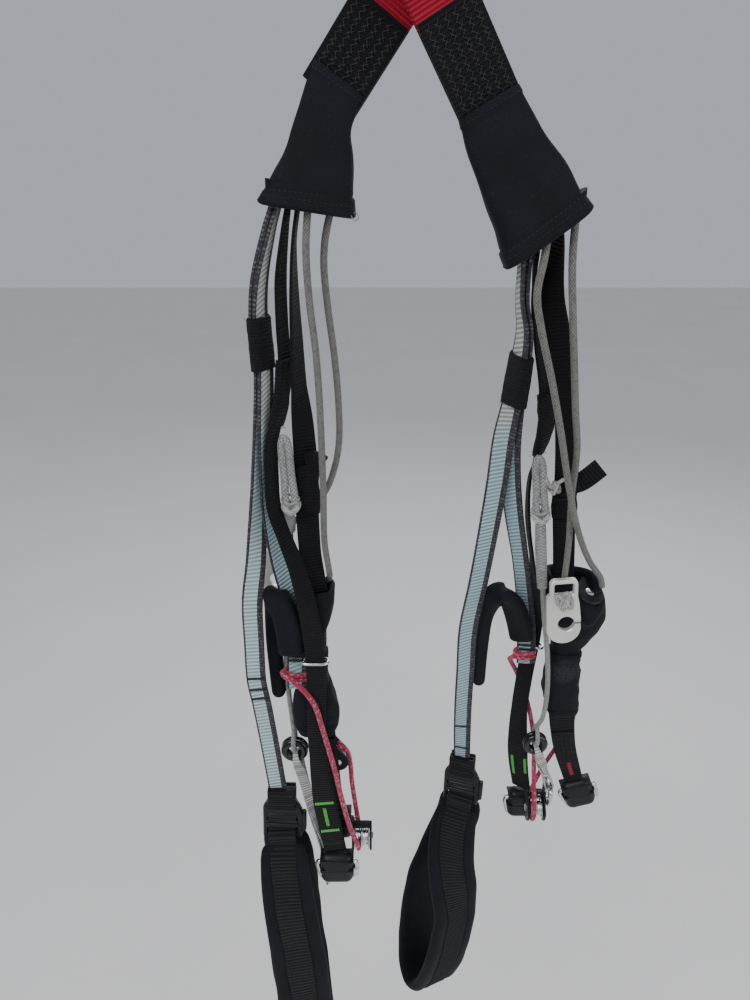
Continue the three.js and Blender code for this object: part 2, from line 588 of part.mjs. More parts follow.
// Per-side sizes and routes. A route row is [x, y, z], and on a strap [x, y, z, twist].
// A sleeve, pouch or cover row is [left x, left z, right x, right z, half depth, y].
const SIDES = [
  {
    name: 'left',
    front: -1,
    loopBase: [-9.3, 7.3, -29.5],
    loopTilt: 35.8,
    trunk: [[-9.5, 7.3, -29.9, 90], [-28.2, 7.3, -55.8, 90]],
    sleeve: [
      [-39.8, -48.9, -17.6, -63.8, 5, 7.3],
      [-46, -63.5, -23.5, -75, 6, 6],
      [-52.5, -80.5, -23, -86, 8, 4],
      [-61, -97, -23.5, -100.5, 10, 1.5],
      [-66, -105, -22.5, -111.5, 11.5, 0],
    ],
    handleStrap: [
      [-59.5, 0, -104, 0], [-64, 0, -118, 6], [-69.5, 0, -140, 18], [-71, 0, -158, 25],
      [-70, 0, -183, 28], [-72.5, 0, -215, 28], [-75.5, 0, -245, 30], [-77.5, 0, -267, 42],
      [-79.7, -1.5, -292, 62], [-83.2, -3.2, -318, 86], [-84, -3, -345, 90], [-84.5, -2, -374, 90],
      [-82.8, -1, -390, 90], [-80, 0, -421, 90], [-76.6, 0, -459.6, 90],
    ],
    cStrap: [
      [-56.5, 0, -104, 0], [-61, 0, -118, 6], [-66.8, -0.8, -140, 18], [-68.8, -1, -158, 25],
      [-67.8, -1.1, -183, 28], [-69.6, -0.8, -215, 30], [-70.2, -0.8, -245, 36], [-69, 0.4, -267, 56],
      [-66.2, 2, -293, 66], [-61.3, 3.6, -322, 78], [-59.2, 0.4, -347, 88], [-59.2, -5.8, -365, 90],
      [-59.4, -7.2, -375, 90],
    ],
    keeper: [[-69.9, -0.5, -157.5, 25], [-68.9, -0.55, -183.5, 28]],
    bStrap: [
      [-52.5, 0, -104, 0], [-55, 0, -118, 8], [-58.2, 1, -140, 20], [-58.8, 2, -162, 22],
      [-58.6, 2, -181, 24], [-61.6, 0.5, -203, 24], [-66.8, -1, -222, 28], [-67.8, -2.5, -242, 30],
      [-67, -5.5, -258, 30], [-62.5, -8.5, -272, 28], [-56.2, -9.4, -292, 40], [-51, -12.6, -314, 66],
      [-48, -13.4, -340, 88], [-47.4, -13.2, -366, 88], [-48.5, -12, -409, 90], [-46, -10.5, -456, 90],
      [-39.5, -8, -506.7, 90],
    ],
    wrap: [0.26, 0.35],
    aStrap: [
      [-48, 0, -104, 0], [-51, 0, -123, 0], [-52, 0.5, -145, 10], [-52, 1.5, -169, 20],
      [-51.8, 2.5, -195, 30], [-51, 5.4, -215, 58], [-50, 3.6, -238, 84], [-50.2, 3.4, -267, 86],
      [-49.4, 2.6, -290, 72], [-47.8, 1.4, -303, 84], [-45.9, 1, -316.8, 86],
    ],
    aWrap: [0.55, 0.73],
    tab: { rows: [[-50, -227], [-44, -227], [-40.5, -231], [-42.5, -243], [-50, -243]], y: 3.4 },
    cord1: [
      [-43.5, -4, -106], [-45, -6, -126], [-44.2, -7, -149], [-41.9, -7.5, -173], [-40.8, -7.5, -198],
      [-40.4, -7.5, -224], [-40.3, -7, -247], [-40.6, -5.5, -278], [-39, -0.5, -298], [-39.4, 7, -307],
      [-42.2, 11.4, -312],
    ],
    cord2: [
      [-33.5, 3, -108], [-36.5, 3, -122], [-37.5, 3, -134], [-36, 3, -155], [-33.5, 3, -177],
      [-32, 4, -200], [-32, 6, -222], [-35, 9, -240], [-42, 14, -258], [-55, 16, -272],
      [-67, 17.4, -283], [-71.5, 17.5, -289],
    ],
    softLoop: { place: [-59.3, -2.4, -239.5], turn: [0, -3, 0], half: 20.5 },
    spliceCord: [[-59.4, -2.4, -259], [-60.4, 3, -266], [-60.6, 8, -277]],
    bridgeCord: [
      [-60.6, 8, -275], [-61.2, 11, -290], [-62, 13, -310], [-65, 12, -330], [-67.2, 9, -358],
      [-66.6, 6.5, -390], [-64.4, 3, -415],
    ],
    ring: [-64.4, 3, -430.5],
    ringLoopTilt: -10.4,
    ringLoopLength: 104.2,
    ringLink: [-45.8, 3, -532.6],
    cHandle: [
      [-61.5, -7.6, -350, 88], [-61.8, -7.8, -343, 90], [-63.8, -7.8, -329, 92], [-66.6, -7.4, -318.5, 106],
      [-70.2, -3, -315.5, 130], [-72.6, 4, -321, 158], [-74.2, 8.3, -334, 178], [-74.2, 8.3, -362, 180],
      [-73.2, 8.3, -380, 180], [-72.6, 8.3, -391, 180],
    ],
    pouch: [
      [-55.6, -313, -36.8, -312, 10, 3.5], [-55, -318, -36.4, -317, 10.5, 3.5],
      [-53.6, -328, -38, -327, 10.5, 3.5], [-51.8, -340, -41, -338, 8.5, 3],
      [-51.6, -349, -42, -348, 6.5, 3], [-52.2, -358.5, -42.2, -358.5, 5.6, 3],
    ],
    pouchPulley: { place: [-46, 17, -321], turn: [75, 0, 0] },
    mouth: [-46, 16, -318],
    cover: [
      [-52.4, -359, -42, -359, 6, 3], [-55, -367, -41.5, -366, 7.4, 2.4],
      [-57.4, -372, -41, -371.5, 8, 2], [-63, -387, -37, -388, 8.5, 1.5],
      [-64, -402, -35, -402, 8.5, 1.5], [-60, -413, -39, -413, 7.5, 1.5],
    ],
    aTail: [[-47, 3, -414.5, 90], [-44.5, 7, -450, 90], [-40.4, 12.2, -496, 90]],
    aEnd: [-40, 12.8, -500],
    aEndTilt: -6,
    bLink: [-38.6, -8, -517],
    hook: { place: [-73, 22, -290], turn: [0, 0, 0] },
    strapRing: { place: [-47.6, -13.3, -351], turn: [0, 0, 0] },
    buckle: { place: [-75.3, 0, -500.6], turn: [0, 2, 0] },
    handle: { turn: [0, -3.3, 0], twist: 9 },
    twinPulley: { place: [-21.7, -3, -499], turn: [0, -12, 90] },
    smallPulley: { place: [-37.8, 14.5, -448], turn: [0, -25, 0] },
    pinkCord: [
      [-67.8, -7, -363], [-66.4, -10.4, -363.5], [-62, -12.4, -365], [-54, -15.8, -371],
      [-48.5, -15.8, -381],
      [-44.8, -15.8, -397], [-41, -15.8, -415], [-37.4, -15.8, -433], [-34.6, -14.5, -452],
      [-28.8, -13.5, -482], [-24.2, -11.4, -499], [-24, -8.9, -504.9], [-24, -3, -507.4],
      [-24, 2.9, -504.9], [-24.2, 5.4, -499], [-26, 7, -484], [-28.5, 10, -464.5], [-29.7, 14, -451],
      [-32, 14.5, -442.2], [-37.8, 14.5, -439.7],
    ],
  },
  {
    name: 'right',
    front: 1,
    loopBase: [15.5, -7.3, -31.5],
    loopTilt: -29.6,
    trunk: [[15.7, -7.3, -31.9, 90], [35.2, -7.3, -66.2, 90]],
    sleeve: [
      [23.6, -73.5, 47.6, -60, 5, -7.3],
      [28.5, -89, 56, -72, 6, -8],
      [37, -109, 68, -87.5, 8, -9.5],
      [43, -124, 75.5, -99, 10, -11],
      [47, -133, 83, -107.5, 11.5, -11],
    ],
    handleStrap: [
      [54.5, -10.5, -130, 0], [55.5, -8, -149, -5], [58.5, -5, -163.5, -15], [58.5, -3.5, -176, -25],
      [57, 0, -201, -40], [55, 5, -223, -65], [54.4, 10, -247.5, -80], [52.4, 16, -281, -88],
      [49.7, 22.5, -318, -90], [46, 29, -357.5, -90], [46.6, 34, -392, -90], [47.4, 39.5, -429.5, -88],
      [50.2, 49.8, -480, -72],
    ],
    cStrap: [
      [57.5, -10.5, -128, 0], [58, -7.5, -149, -5], [60.9, -4, -163.5, -15], [60.8, -2.4, -176, -25],
      [59.3, 1.6, -201, -38], [59.5, 7, -224, -52], [61.5, 12, -242.5, -58], [66, 17, -269, -55],
      [74, 23, -304.5, -45], [80, 28.5, -335, -50], [84, 33, -360, -75], [86.5, 36, -388, -80],
    ],
    keeper: [[59.6, -3.2, -175.5, -25], [58.1, 0.8, -202, -39]],
    bStrap: [
      [60.8, -10.5, -125, 0], [62.5, -5, -149, 15], [68.5, 0, -171, 35], [75, 5.5, -195, 45],
      [78, 10, -217.5, 50], [76, 13, -233.5, 30], [73.5, 16, -249.5, 8], [75.5, 20, -276.5, 0],
      [81.5, 25, -305.5, 0], [88, 31, -336, -30], [90, 40, -369, -70], [88.5, 44, -404.5, -80],
      [88, 47, -437.5, -75], [91.5, 51, -483, -60], [97, 54.2, -514.1, -50],
    ],
    wrap: [0.28, 0.42],
    aStrap: [
      [71, -9, -118, 0], [70.5, -6.5, -144, -50], [75.5, -3.5, -163.5, -65], [82, -0.5, -189, -65],
      [88, 4.5, -217, -65], [91.5, 9, -241.5, -75], [94, 14, -267.5, -80], [98, 19, -295.5, -85],
      [100.8, 22.8, -316.6, -88],
    ],
    aWrap: [0.6, 0.78],
    tab: { rows: [[92, -257], [108, -252], [112.5, -241.5], [110, -239.5], [92, -246]], y: 11 },
    cord1: [
      [64.2, -16.8, -118], [63, -18.6, -129], [61.2, -18.6, -145], [65, -16.5, -161],
      [73, -13.5, -186], [81, -9.5, -213], [90, -4.5, -246], [100, 1.5, -276], [110.5, 9, -297.5],
      [120.4, 15, -312], [123, 17.4, -319],
    ],
    cord2: [
      [77, -12, -108], [77, -13.5, -130], [79.5, -14, -153], [83.5, -11.5, -177.5], [88, -7.5, -203.5],
      [92.5, -2.5, -225.5], [94.5, 4, -255.5], [96.5, 6, -283.5], [97, 7.7, -308],
    ],
    softLoop: { place: [77, 5, -251], turn: [6, -8, 0], half: 19 },
    spliceCord: [[79.5, 7, -270], [82.5, 11, -292], [86.4, 14.5, -318]],
    bridgeCord: [
      [86.4, 14.5, -316], [90, 16, -340], [95.5, 19.5, -370], [99, 23, -400], [99.8, 28, -425],
      [99.8, 39.4, -443.5],
    ],
    ring: [99.7, 40, -459],
    ringLoopTilt: -19,
    ringLoopLength: 41,
    ringLink: [113.2, 40, -498],
    cHandle: [
      [81.3, 30.5, -366, -72], [77.9, 28.1, -353, -64], [73.3, 23.4, -340, -60], [66, 18.5, -327, -60],
      [59, 23, -329, -35], [57.2, 31, -345, -5], [56.5, 38, -378, 0], [56.8, 42, -407.5, 0],
    ],
    pouch: [
      [90.5, -313, 121, -317, 10.5, 23], [90.5, -323, 127, -329, 11, 24.5],
      [92.5, -338, 129.5, -344, 11, 26], [96, -353, 126, -358, 9.5, 28.5], [100, -368, 119.5, -371, 7, 31],
      [101.4, -377.5, 119.2, -377.5, 6.6, 32],
    ],
    pouchPulley: { place: [115, 19, -328], turn: [-70, 12, 0] },
    mouth: [115.5, 19, -326],
    cover: [
      [101, -378, 119.5, -378, 7, 32], [99, -390.5, 121, -390.5, 8, 34], [99, -406, 123, -408, 8.5, 36],
      [102, -419.5, 125, -421, 8.5, 38], [106, -429.5, 124.5, -427.5, 7.5, 38.5],
    ],
    aTail: [[115.2, 38.4, -429.3, -86], [121.3, 43, -463, -86], [133, 47.5, -500, -86]],
    aEnd: [136.4, 48.5, -508],
    aEndTilt: -18,
    bLink: [98.8, 55, -524.5],
    hook: { place: [95.5, 3, -309], turn: [0, -5, 0] },
    strapRing: { place: [90.2, 41, -377], turn: [0, 0, -20] },
    buckle: { place: [51, 50, -521], turn: [0, 0, -18] },
    handle: { turn: [0, 6, -18], twist: 44 },
    twinPulley: { place: [104, 38, -517], turn: [0, 12, 90] },
    smallPulley: { place: [120.5, 53, -424], turn: [0, 12, 0] },
    pinkCord: [
      [80.5, 31.5, -378], [76.6, 36, -384], [78, 45, -392], [84, 50, -405], [92, 51.5, -425],
      [97.5, 50, -445], [101, 48, -465], [101.7, 42, -487], [101.7, 33, -506], [101.7, 29.6, -517],
      [101.7, 32.1, -522.9], [101.7, 38, -525.4], [101.7, 43.9, -522.9], [101.7, 46.4, -517],
      [103.8, 47.8, -507], [110, 51.5, -494], [118, 53.5, -478], [126.5, 53, -460], [129, 53, -440],
      [128.6, 53, -426], [126.3, 53, -418.2], [120.5, 53, -415.7],
    ],
  },
];

// One riser: webbing, covers, speed system, ends and control handle.
function addRiser(side) {
  const piece = (name) => `${side.name}_${name}`;
  const turnOf = (tilt) => [0, tilt, 0];
  addPiece(piece('carabiner_loop'), carabinerLoop(), 'redWebbing', side.loopBase, turnOf(side.loopTilt));
  addPiece(piece('trunk'), strap(side.trunk, () => [TRUNK_WIDTH, TRUNK_THICK]), 'blackWebbing');
  addPiece(piece('sleeve'), sleeve(side.sleeve), 'neoprene');

  const tape = () => [TAPE_WIDTH, TAPE_THICK];
  const hung = (route, reach = 1) => fromSleeve(side, route, reach);
  addPiece(piece('handle_strap'), strap(hung(side.handleStrap), tape), 'tealWebbing');
  addPiece(piece('c_strap'), strap(hung(side.cStrap), tape), 'tealWebbing');
  addPiece(piece('strap_keeper'), keeper(side.keeper), 'blackWebbing');
  addPiece(piece('b_strap'), strap(hung(side.bStrap), (share) => {
    const wrapped = share > side.wrap[0] && share < side.wrap[1];
    const width = THREE.MathUtils.lerp(B_WIDTH_TOP, B_WIDTH_END, THREE.MathUtils.smoothstep(share, 0.8, 0.9));
    return [width, wrapped ? WRAP_THICK : TAPE_THICK];
  }), 'blackWebbing');
  const tab = plate(outline(side.tab.rows), TAPE_THICK).translate(0, side.tab.y, 0);
  addPiece(piece('a_strap'), join(strap(hung(side.aStrap), (share) => {
    const wrapped = share > side.aWrap[0] && share < side.aWrap[1];
    return [wrapped ? A_WIDTH + 1 : A_WIDTH, wrapped ? WRAP_THICK : TAPE_THICK];
  }), tab), 'blackWebbing');
  const padding = (share) => [
    THREE.MathUtils.lerp(C_HANDLE_WIDTH, C_HANDLE_FAR_WIDTH, THREE.MathUtils.smoothstep(share, 0.3, 0.6)),
    C_HANDLE_THICK,
  ];
  addPiece(piece('c_handle'), strap(side.cHandle, padding, 2, PADDED_SECTION), 'neoprene');

  const speedReach = SPEED_CORD_RADIUS;
  addPiece(piece('speed_cord_pulley'), cord(hung(side.cord1, speedReach), SPEED_CORD_RADIUS, 40), 'greyCord');
  addPiece(piece('speed_cord_hook'), cord(hung(side.cord2, speedReach), SPEED_CORD_RADIUS, 40), 'greyCord');
  const loop = softLoop(side.softLoop.half);
  const [turnX, turnY] = side.softLoop.turn.map(THREE.MathUtils.degToRad);
  loop.rotateX(turnX).rotateY(turnY).translate(...side.softLoop.place);
  addPiece(piece('bridge_cord'), join(
    loop, cord(side.spliceCord, SPLICE_RADIUS, 6), cord(side.bridgeCord, BRIDGE_CORD_RADIUS, 24),
    ringEye().translate(...side.ring),
  ), 'greyCord');
  addPiece(piece('friction_ring'), lowFrictionRing(), 'ringBlack', side.ring);
  addPiece(piece('ring_loop'), ringLoop(side.ringLoopLength), 'paleCord', side.ring, turnOf(side.ringLoopTilt));
  addPiece(piece('ring_link'), quickLink(RING_LINK_HALF_WIDTH, 0), 'steel', side.ringLink, [0, 0, 90]);

  addPiece(piece('pulley_pouch'), cut(pouch(side.pouch, POUCH_POCKET), mouthSpace(side.mouth)), 'neoprene');
  const { place, turn } = side.pouchPulley;
  addPiece(piece('pouch_pulley'), pulleyBody(POUCH_SHEAVE, 8, 3), 'blackPlastic', place, turn);
  addPiece(piece('pouch_sheave'), wheel(POUCH_SHEAVE), 'paleSheave', place, turn);
  addPiece(piece('speed_hook'), speedHook(-side.front), 'hookSilver', side.hook.place, side.hook.turn);
  addPiece(piece('riser_cover'), loft(outerRings(side.cover)), 'neoprene');
  addPiece(piece('strap_ring'), strapRing(), 'steel', side.strapRing.place, side.strapRing.turn);

  const tail = strap(side.aTail, (share) => [
    THREE.MathUtils.lerp(TAIL_WIDTH_TOP, TAIL_WIDTH_END, share), TAPE_THICK + 1,
  ]);
  const aLink = quickLink(LINK_HALF_WIDTH, BOOT_HEIGHT);
  aLink.rotateY(THREE.MathUtils.degToRad(side.aEndTilt)).translate(...side.aEnd);
  addPiece(piece('a_end'), join(tail, aLink), 'blackWebbing');
  addPiece(piece('b_end'), quickLink(LINK_HALF_WIDTH, BOOT_HEIGHT), 'blackPlastic', side.bLink);
  for (const [name, sheave, grooves, rise, spot] of [
    ['twin', TWIN_SHEAVE, 2, 4, side.twinPulley], ['small', SMALL_SHEAVE, 1, 16, side.smallPulley],
  ]) {
    addPiece(piece(`${name}_pulley`), pulleyBody(sheave, 5, rise), 'blackPlastic', spot.place, spot.turn);
    addPiece(piece(`${name}_sheave`), wheel(sheave, grooves), 'steel', spot.place, spot.turn);
  }
  addPiece(piece('pink_cord'), cord(side.pinkCord, PINK_CORD_RADIUS, 56, 6), 'pinkCord');
  addPiece(piece('buckle'), buckle(), 'blackPlastic', side.buckle.place, side.buckle.turn);
  addPiece(piece('control_handle'), controlHandle(side.handle.twist), 'neoprene',
    side.buckle.place, side.handle.turn);
}

SIDES.forEach(addRiser);

export default group;
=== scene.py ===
"""Looks of a paraglider riser pair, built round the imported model."""

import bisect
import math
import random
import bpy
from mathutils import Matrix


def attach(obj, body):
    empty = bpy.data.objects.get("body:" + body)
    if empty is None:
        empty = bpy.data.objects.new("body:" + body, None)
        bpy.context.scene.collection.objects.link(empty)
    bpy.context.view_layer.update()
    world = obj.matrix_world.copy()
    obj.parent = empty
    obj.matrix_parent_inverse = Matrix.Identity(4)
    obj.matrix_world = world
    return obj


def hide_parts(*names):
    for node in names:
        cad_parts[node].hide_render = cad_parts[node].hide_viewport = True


bl_info = {
    "name": "Riser pair looks",
    "version": (1, 0, 0),
    "blender": (4, 5, 0),
    "location": "View3D > Sidebar > Risers",
    "description": "Dresses a packed pair of paraglider risers and sets its stage",
    "category": "Object",
}

import bmesh
import bpy
from bpy.props import FloatProperty, FloatVectorProperty, PointerProperty
from mathutils import Matrix, Vector, noise

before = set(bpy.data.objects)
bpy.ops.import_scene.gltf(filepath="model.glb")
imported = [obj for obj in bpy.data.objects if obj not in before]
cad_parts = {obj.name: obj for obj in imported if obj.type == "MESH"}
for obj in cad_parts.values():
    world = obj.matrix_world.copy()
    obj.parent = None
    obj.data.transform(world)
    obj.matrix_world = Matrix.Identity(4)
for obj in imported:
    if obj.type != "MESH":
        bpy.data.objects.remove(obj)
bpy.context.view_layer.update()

MM = 0.001
AXIS_X = Vector((1, 0, 0))
AXIS_Y = Vector((0, 1, 0))
AXIS_Z = Vector((0, 0, 1))
FIXED = "risers"
FOLD_SEED = 5           # of the noise that folds the cloth
STITCH_SHARE = 0.78     # of a stitch's step that its thread fills
RIB_PITCH = 2.7 * MM    # of the control handles' ribbed webbing
PAD_FOLDS = (26 * MM, 0.9 * MM)     # size and depth, on a control handle
NO_EDGES = (-15 * MM, 15 * MM)      # wider than any strap
CAMERA_PLACE = (-0.013, -0.359, -0.1)
LIGHT_AIM = Vector((0.02, 0, -0.4))

# Routes in millimetres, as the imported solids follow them. A cord's row is (x, y, z), a strap's
# is (x, y, z, twist), and a cover's is (left x, left z, right x, right z, half depth, y). A seat,
# such as the hook's, is its place and its turn in degrees.
LEFT = {
    "front": -1,
    "loop_base": (-9.3, 7.3, -29.5),
    "loop_tilt": 35.8,
    "trunk": [(-9.5, 7.3, -29.9, 90), (-28.2, 7.3, -55.8, 90)],
    "sleeve": [
        (-39.8, -48.9, -17.6, -63.8, 5, 7.3), (-46, -63.5, -23.5, -75, 6, 6),
        (-52.5, -80.5, -23, -86, 8, 4), (-61, -97, -23.5, -100.5, 10, 1.5),
        (-66, -105, -22.5, -111.5, 11.5, 0),
    ],
    "handle_strap": [
        (-59.5, 0, -104, 0), (-64, 0, -118, 6), (-69.5, 0, -140, 18), (-71, 0, -158, 25),
        (-70, 0, -183, 28), (-72.5, 0, -215, 28), (-75.5, 0, -245, 30), (-77.5, 0, -267, 42),
        (-79.7, -1.5, -292, 62), (-83.2, -3.2, -318, 86), (-84, -3, -345, 90), (-84.5, -2, -374, 90),
        (-82.8, -1, -390, 90), (-80, 0, -421, 90), (-76.6, 0, -459.6, 90),
    ],
    "c_strap": [
        (-56.5, 0, -104, 0), (-61, 0, -118, 6), (-66.8, -0.8, -140, 18), (-68.8, -1, -158, 25),
        (-67.8, -1.1, -183, 28), (-69.6, -0.8, -215, 30), (-70.2, -0.8, -245, 36), (-69, 0.4, -267, 56),
        (-66.2, 2, -293, 66), (-61.3, 3.6, -322, 78), (-59.2, 0.4, -347, 88), (-59.2, -5.8, -365, 90),
        (-59.4, -7.2, -375, 90),
    ],
    "keeper": [(-69.9, -0.5, -157.5, 25), (-68.9, -0.55, -183.5, 28)],
    "b_strap": [
        (-52.5, 0, -104, 0), (-55, 0, -118, 8), (-58.2, 1, -140, 20), (-58.8, 2, -162, 22),
        (-58.6, 2, -181, 24), (-61.6, 0.5, -203, 24), (-66.8, -1, -222, 28), (-67.8, -2.5, -242, 30),
        (-67, -5.5, -258, 30), (-62.5, -8.5, -272, 28), (-56.2, -9.4, -292, 40), (-51, -12.6, -314, 66),
        (-48, -13.4, -340, 88), (-47.4, -13.2, -366, 88), (-48.5, -12, -409, 90), (-46, -10.5, -456, 90),
        (-39.5, -8, -506.7, 90),
    ],
    "b_wrap": (0.285, 0.385),
    "a_strap": [
        (-48, 0, -104, 0), (-51, 0, -123, 0), (-52, 0.5, -145, 10), (-52, 1.5, -169, 20),
        (-51.8, 2.5, -195, 30), (-51, 5.4, -215, 58), (-50, 3.6, -238, 84), (-50.2, 3.4, -267, 86),
        (-49.4, 2.6, -290, 72), (-47.8, 1.4, -303, 84), (-45.9, 1, -316.8, 86),
    ],
    "a_wrap": (0.63, 0.72),
    "tab": [(-50, 3.4, -235), (-45.5, 3.4, -234.5), (-41.2, 3.4, -237)],
    "pulley_cord": [
        (-43.5, -4, -106), (-45, -6, -126), (-44.2, -7, -149), (-41.9, -7.5, -173), (-40.8, -7.5, -198),
        (-40.4, -7.5, -224), (-40.3, -7, -247), (-40.6, -5.5, -278), (-39, -0.5, -298), (-39.4, 7, -307),
        (-42.2, 11.4, -312),
    ],
    "hook_cord": [
        (-33.5, 3, -108), (-36.5, 3, -122), (-37.5, 3, -134), (-36, 3, -155), (-33.5, 3, -177),
        (-32, 4, -200), (-32, 6, -222), (-35, 9, -240), (-42, 14, -258), (-55, 16, -272),
        (-67, 17.4, -283), (-71.5, 17.5, -289),
    ],
    "soft_loop": {"place": (-59.3, -2.4, -239.5), "turn": (0, -3), "half": 20.5},
    "splice": [(-59.4, -2.4, -259), (-60.4, 3, -266), (-60.6, 8, -277)],
    "bridge_cord": [
        (-60.6, 8, -275), (-61.2, 11, -290), (-62, 13, -310), (-65, 12, -330), (-67.2, 9, -358),
        (-66.6, 6.5, -390), (-64.4, 3, -415),
    ],
    "ring": (-64.4, 3, -430.5),
    "ring_loop_tilt": -10.4,
    "ring_loop_length": 104.2,
    "ring_link": (-45.8, 3, -532.6),
    "c_handle": [
        (-61.5, -7.8, -350, 88), (-61.8, -8.2, -340, 90), (-63, -8.2, -328, 94), (-65.8, -6.6, -319, 104),
        (-69.4, -2.2, -315.4, 122), (-72.2, 3.4, -319, 148), (-73.8, 7.3, -330, 168),
        (-74.2, 8.3, -350, 180), (-73.2, 8.3, -380, 180), (-72.6, 8.3, -391, 180),
    ],
    "pouch": [
        (-55.6, -313, -36.8, -312, 10, 3.5), (-55, -318, -36.4, -317, 10.5, 3.5),
        (-53.6, -328, -38, -327, 10.5, 3.5), (-51.8, -340, -41, -338, 8.5, 3),
        (-51.6, -349, -42, -348, 6.5, 3), (-52.2, -358.5, -42.2, -358.5, 5.6, 3),
    ],
    "pouch_pulley": ((-46, 17, -321), (75, 0, 0)),
    "cover": [
        (-52.4, -359, -42, -359, 6, 3), (-55, -367, -41.5, -366, 7.4, 2.4),
        (-57.4, -372, -41, -371.5, 8, 2), (-63, -387, -37, -388, 8.5, 1.5),
        (-64, -402, -35, -402, 8.5, 1.5), (-60, -413, -39, -413, 7.5, 1.5),
    ],
    "a_tail": [(-47, 3, -414.5, 90), (-44.5, 7, -450, 90), (-40.4, 12.2, -496, 90)],
    "a_end": (-40, 12.8, -500),
    "a_end_tilt": -6,
    "b_end": (-38.6, -8, -517),
    "hook": ((-73, 22, -290), (0, 0, 0)),
    "strap_ring": ((-47.6, -13.3, -351), (0, 0, 0)),
    "buckle": ((-75.3, 0, -500.6), (0, 2, 0)),
    "handle_turn": (0, -3.3, 0),
    "handle_twist": 9,
    "twin_pulley": ((-21.7, -3, -499), (0, -12, 90)),
    "small_pulley": ((-37.8, 14.5, -448), (0, -25, 0)),
    "pink_cord": [
        (-67.8, -7, -363), (-66.4, -10.4, -363.5), (-62, -12.4, -365), (-54, -15.8, -371),
        (-48.5, -15.8, -381), (-44.8, -15.8, -397), (-41, -15.8, -415), (-37.4, -15.8, -433),
        (-34.6, -14.5, -452), (-28.8, -13.5, -482), (-24.2, -11.4, -499), (-24, -8.9, -504.9),
        (-24, -3, -507.4), (-24, 2.9, -504.9), (-24.2, 5.4, -499), (-26, 7, -484), (-28.5, 10, -464.5),
        (-29.7, 14, -451), (-32, 14.5, -442.2), (-37.8, 14.5, -439.7),
    ],
}

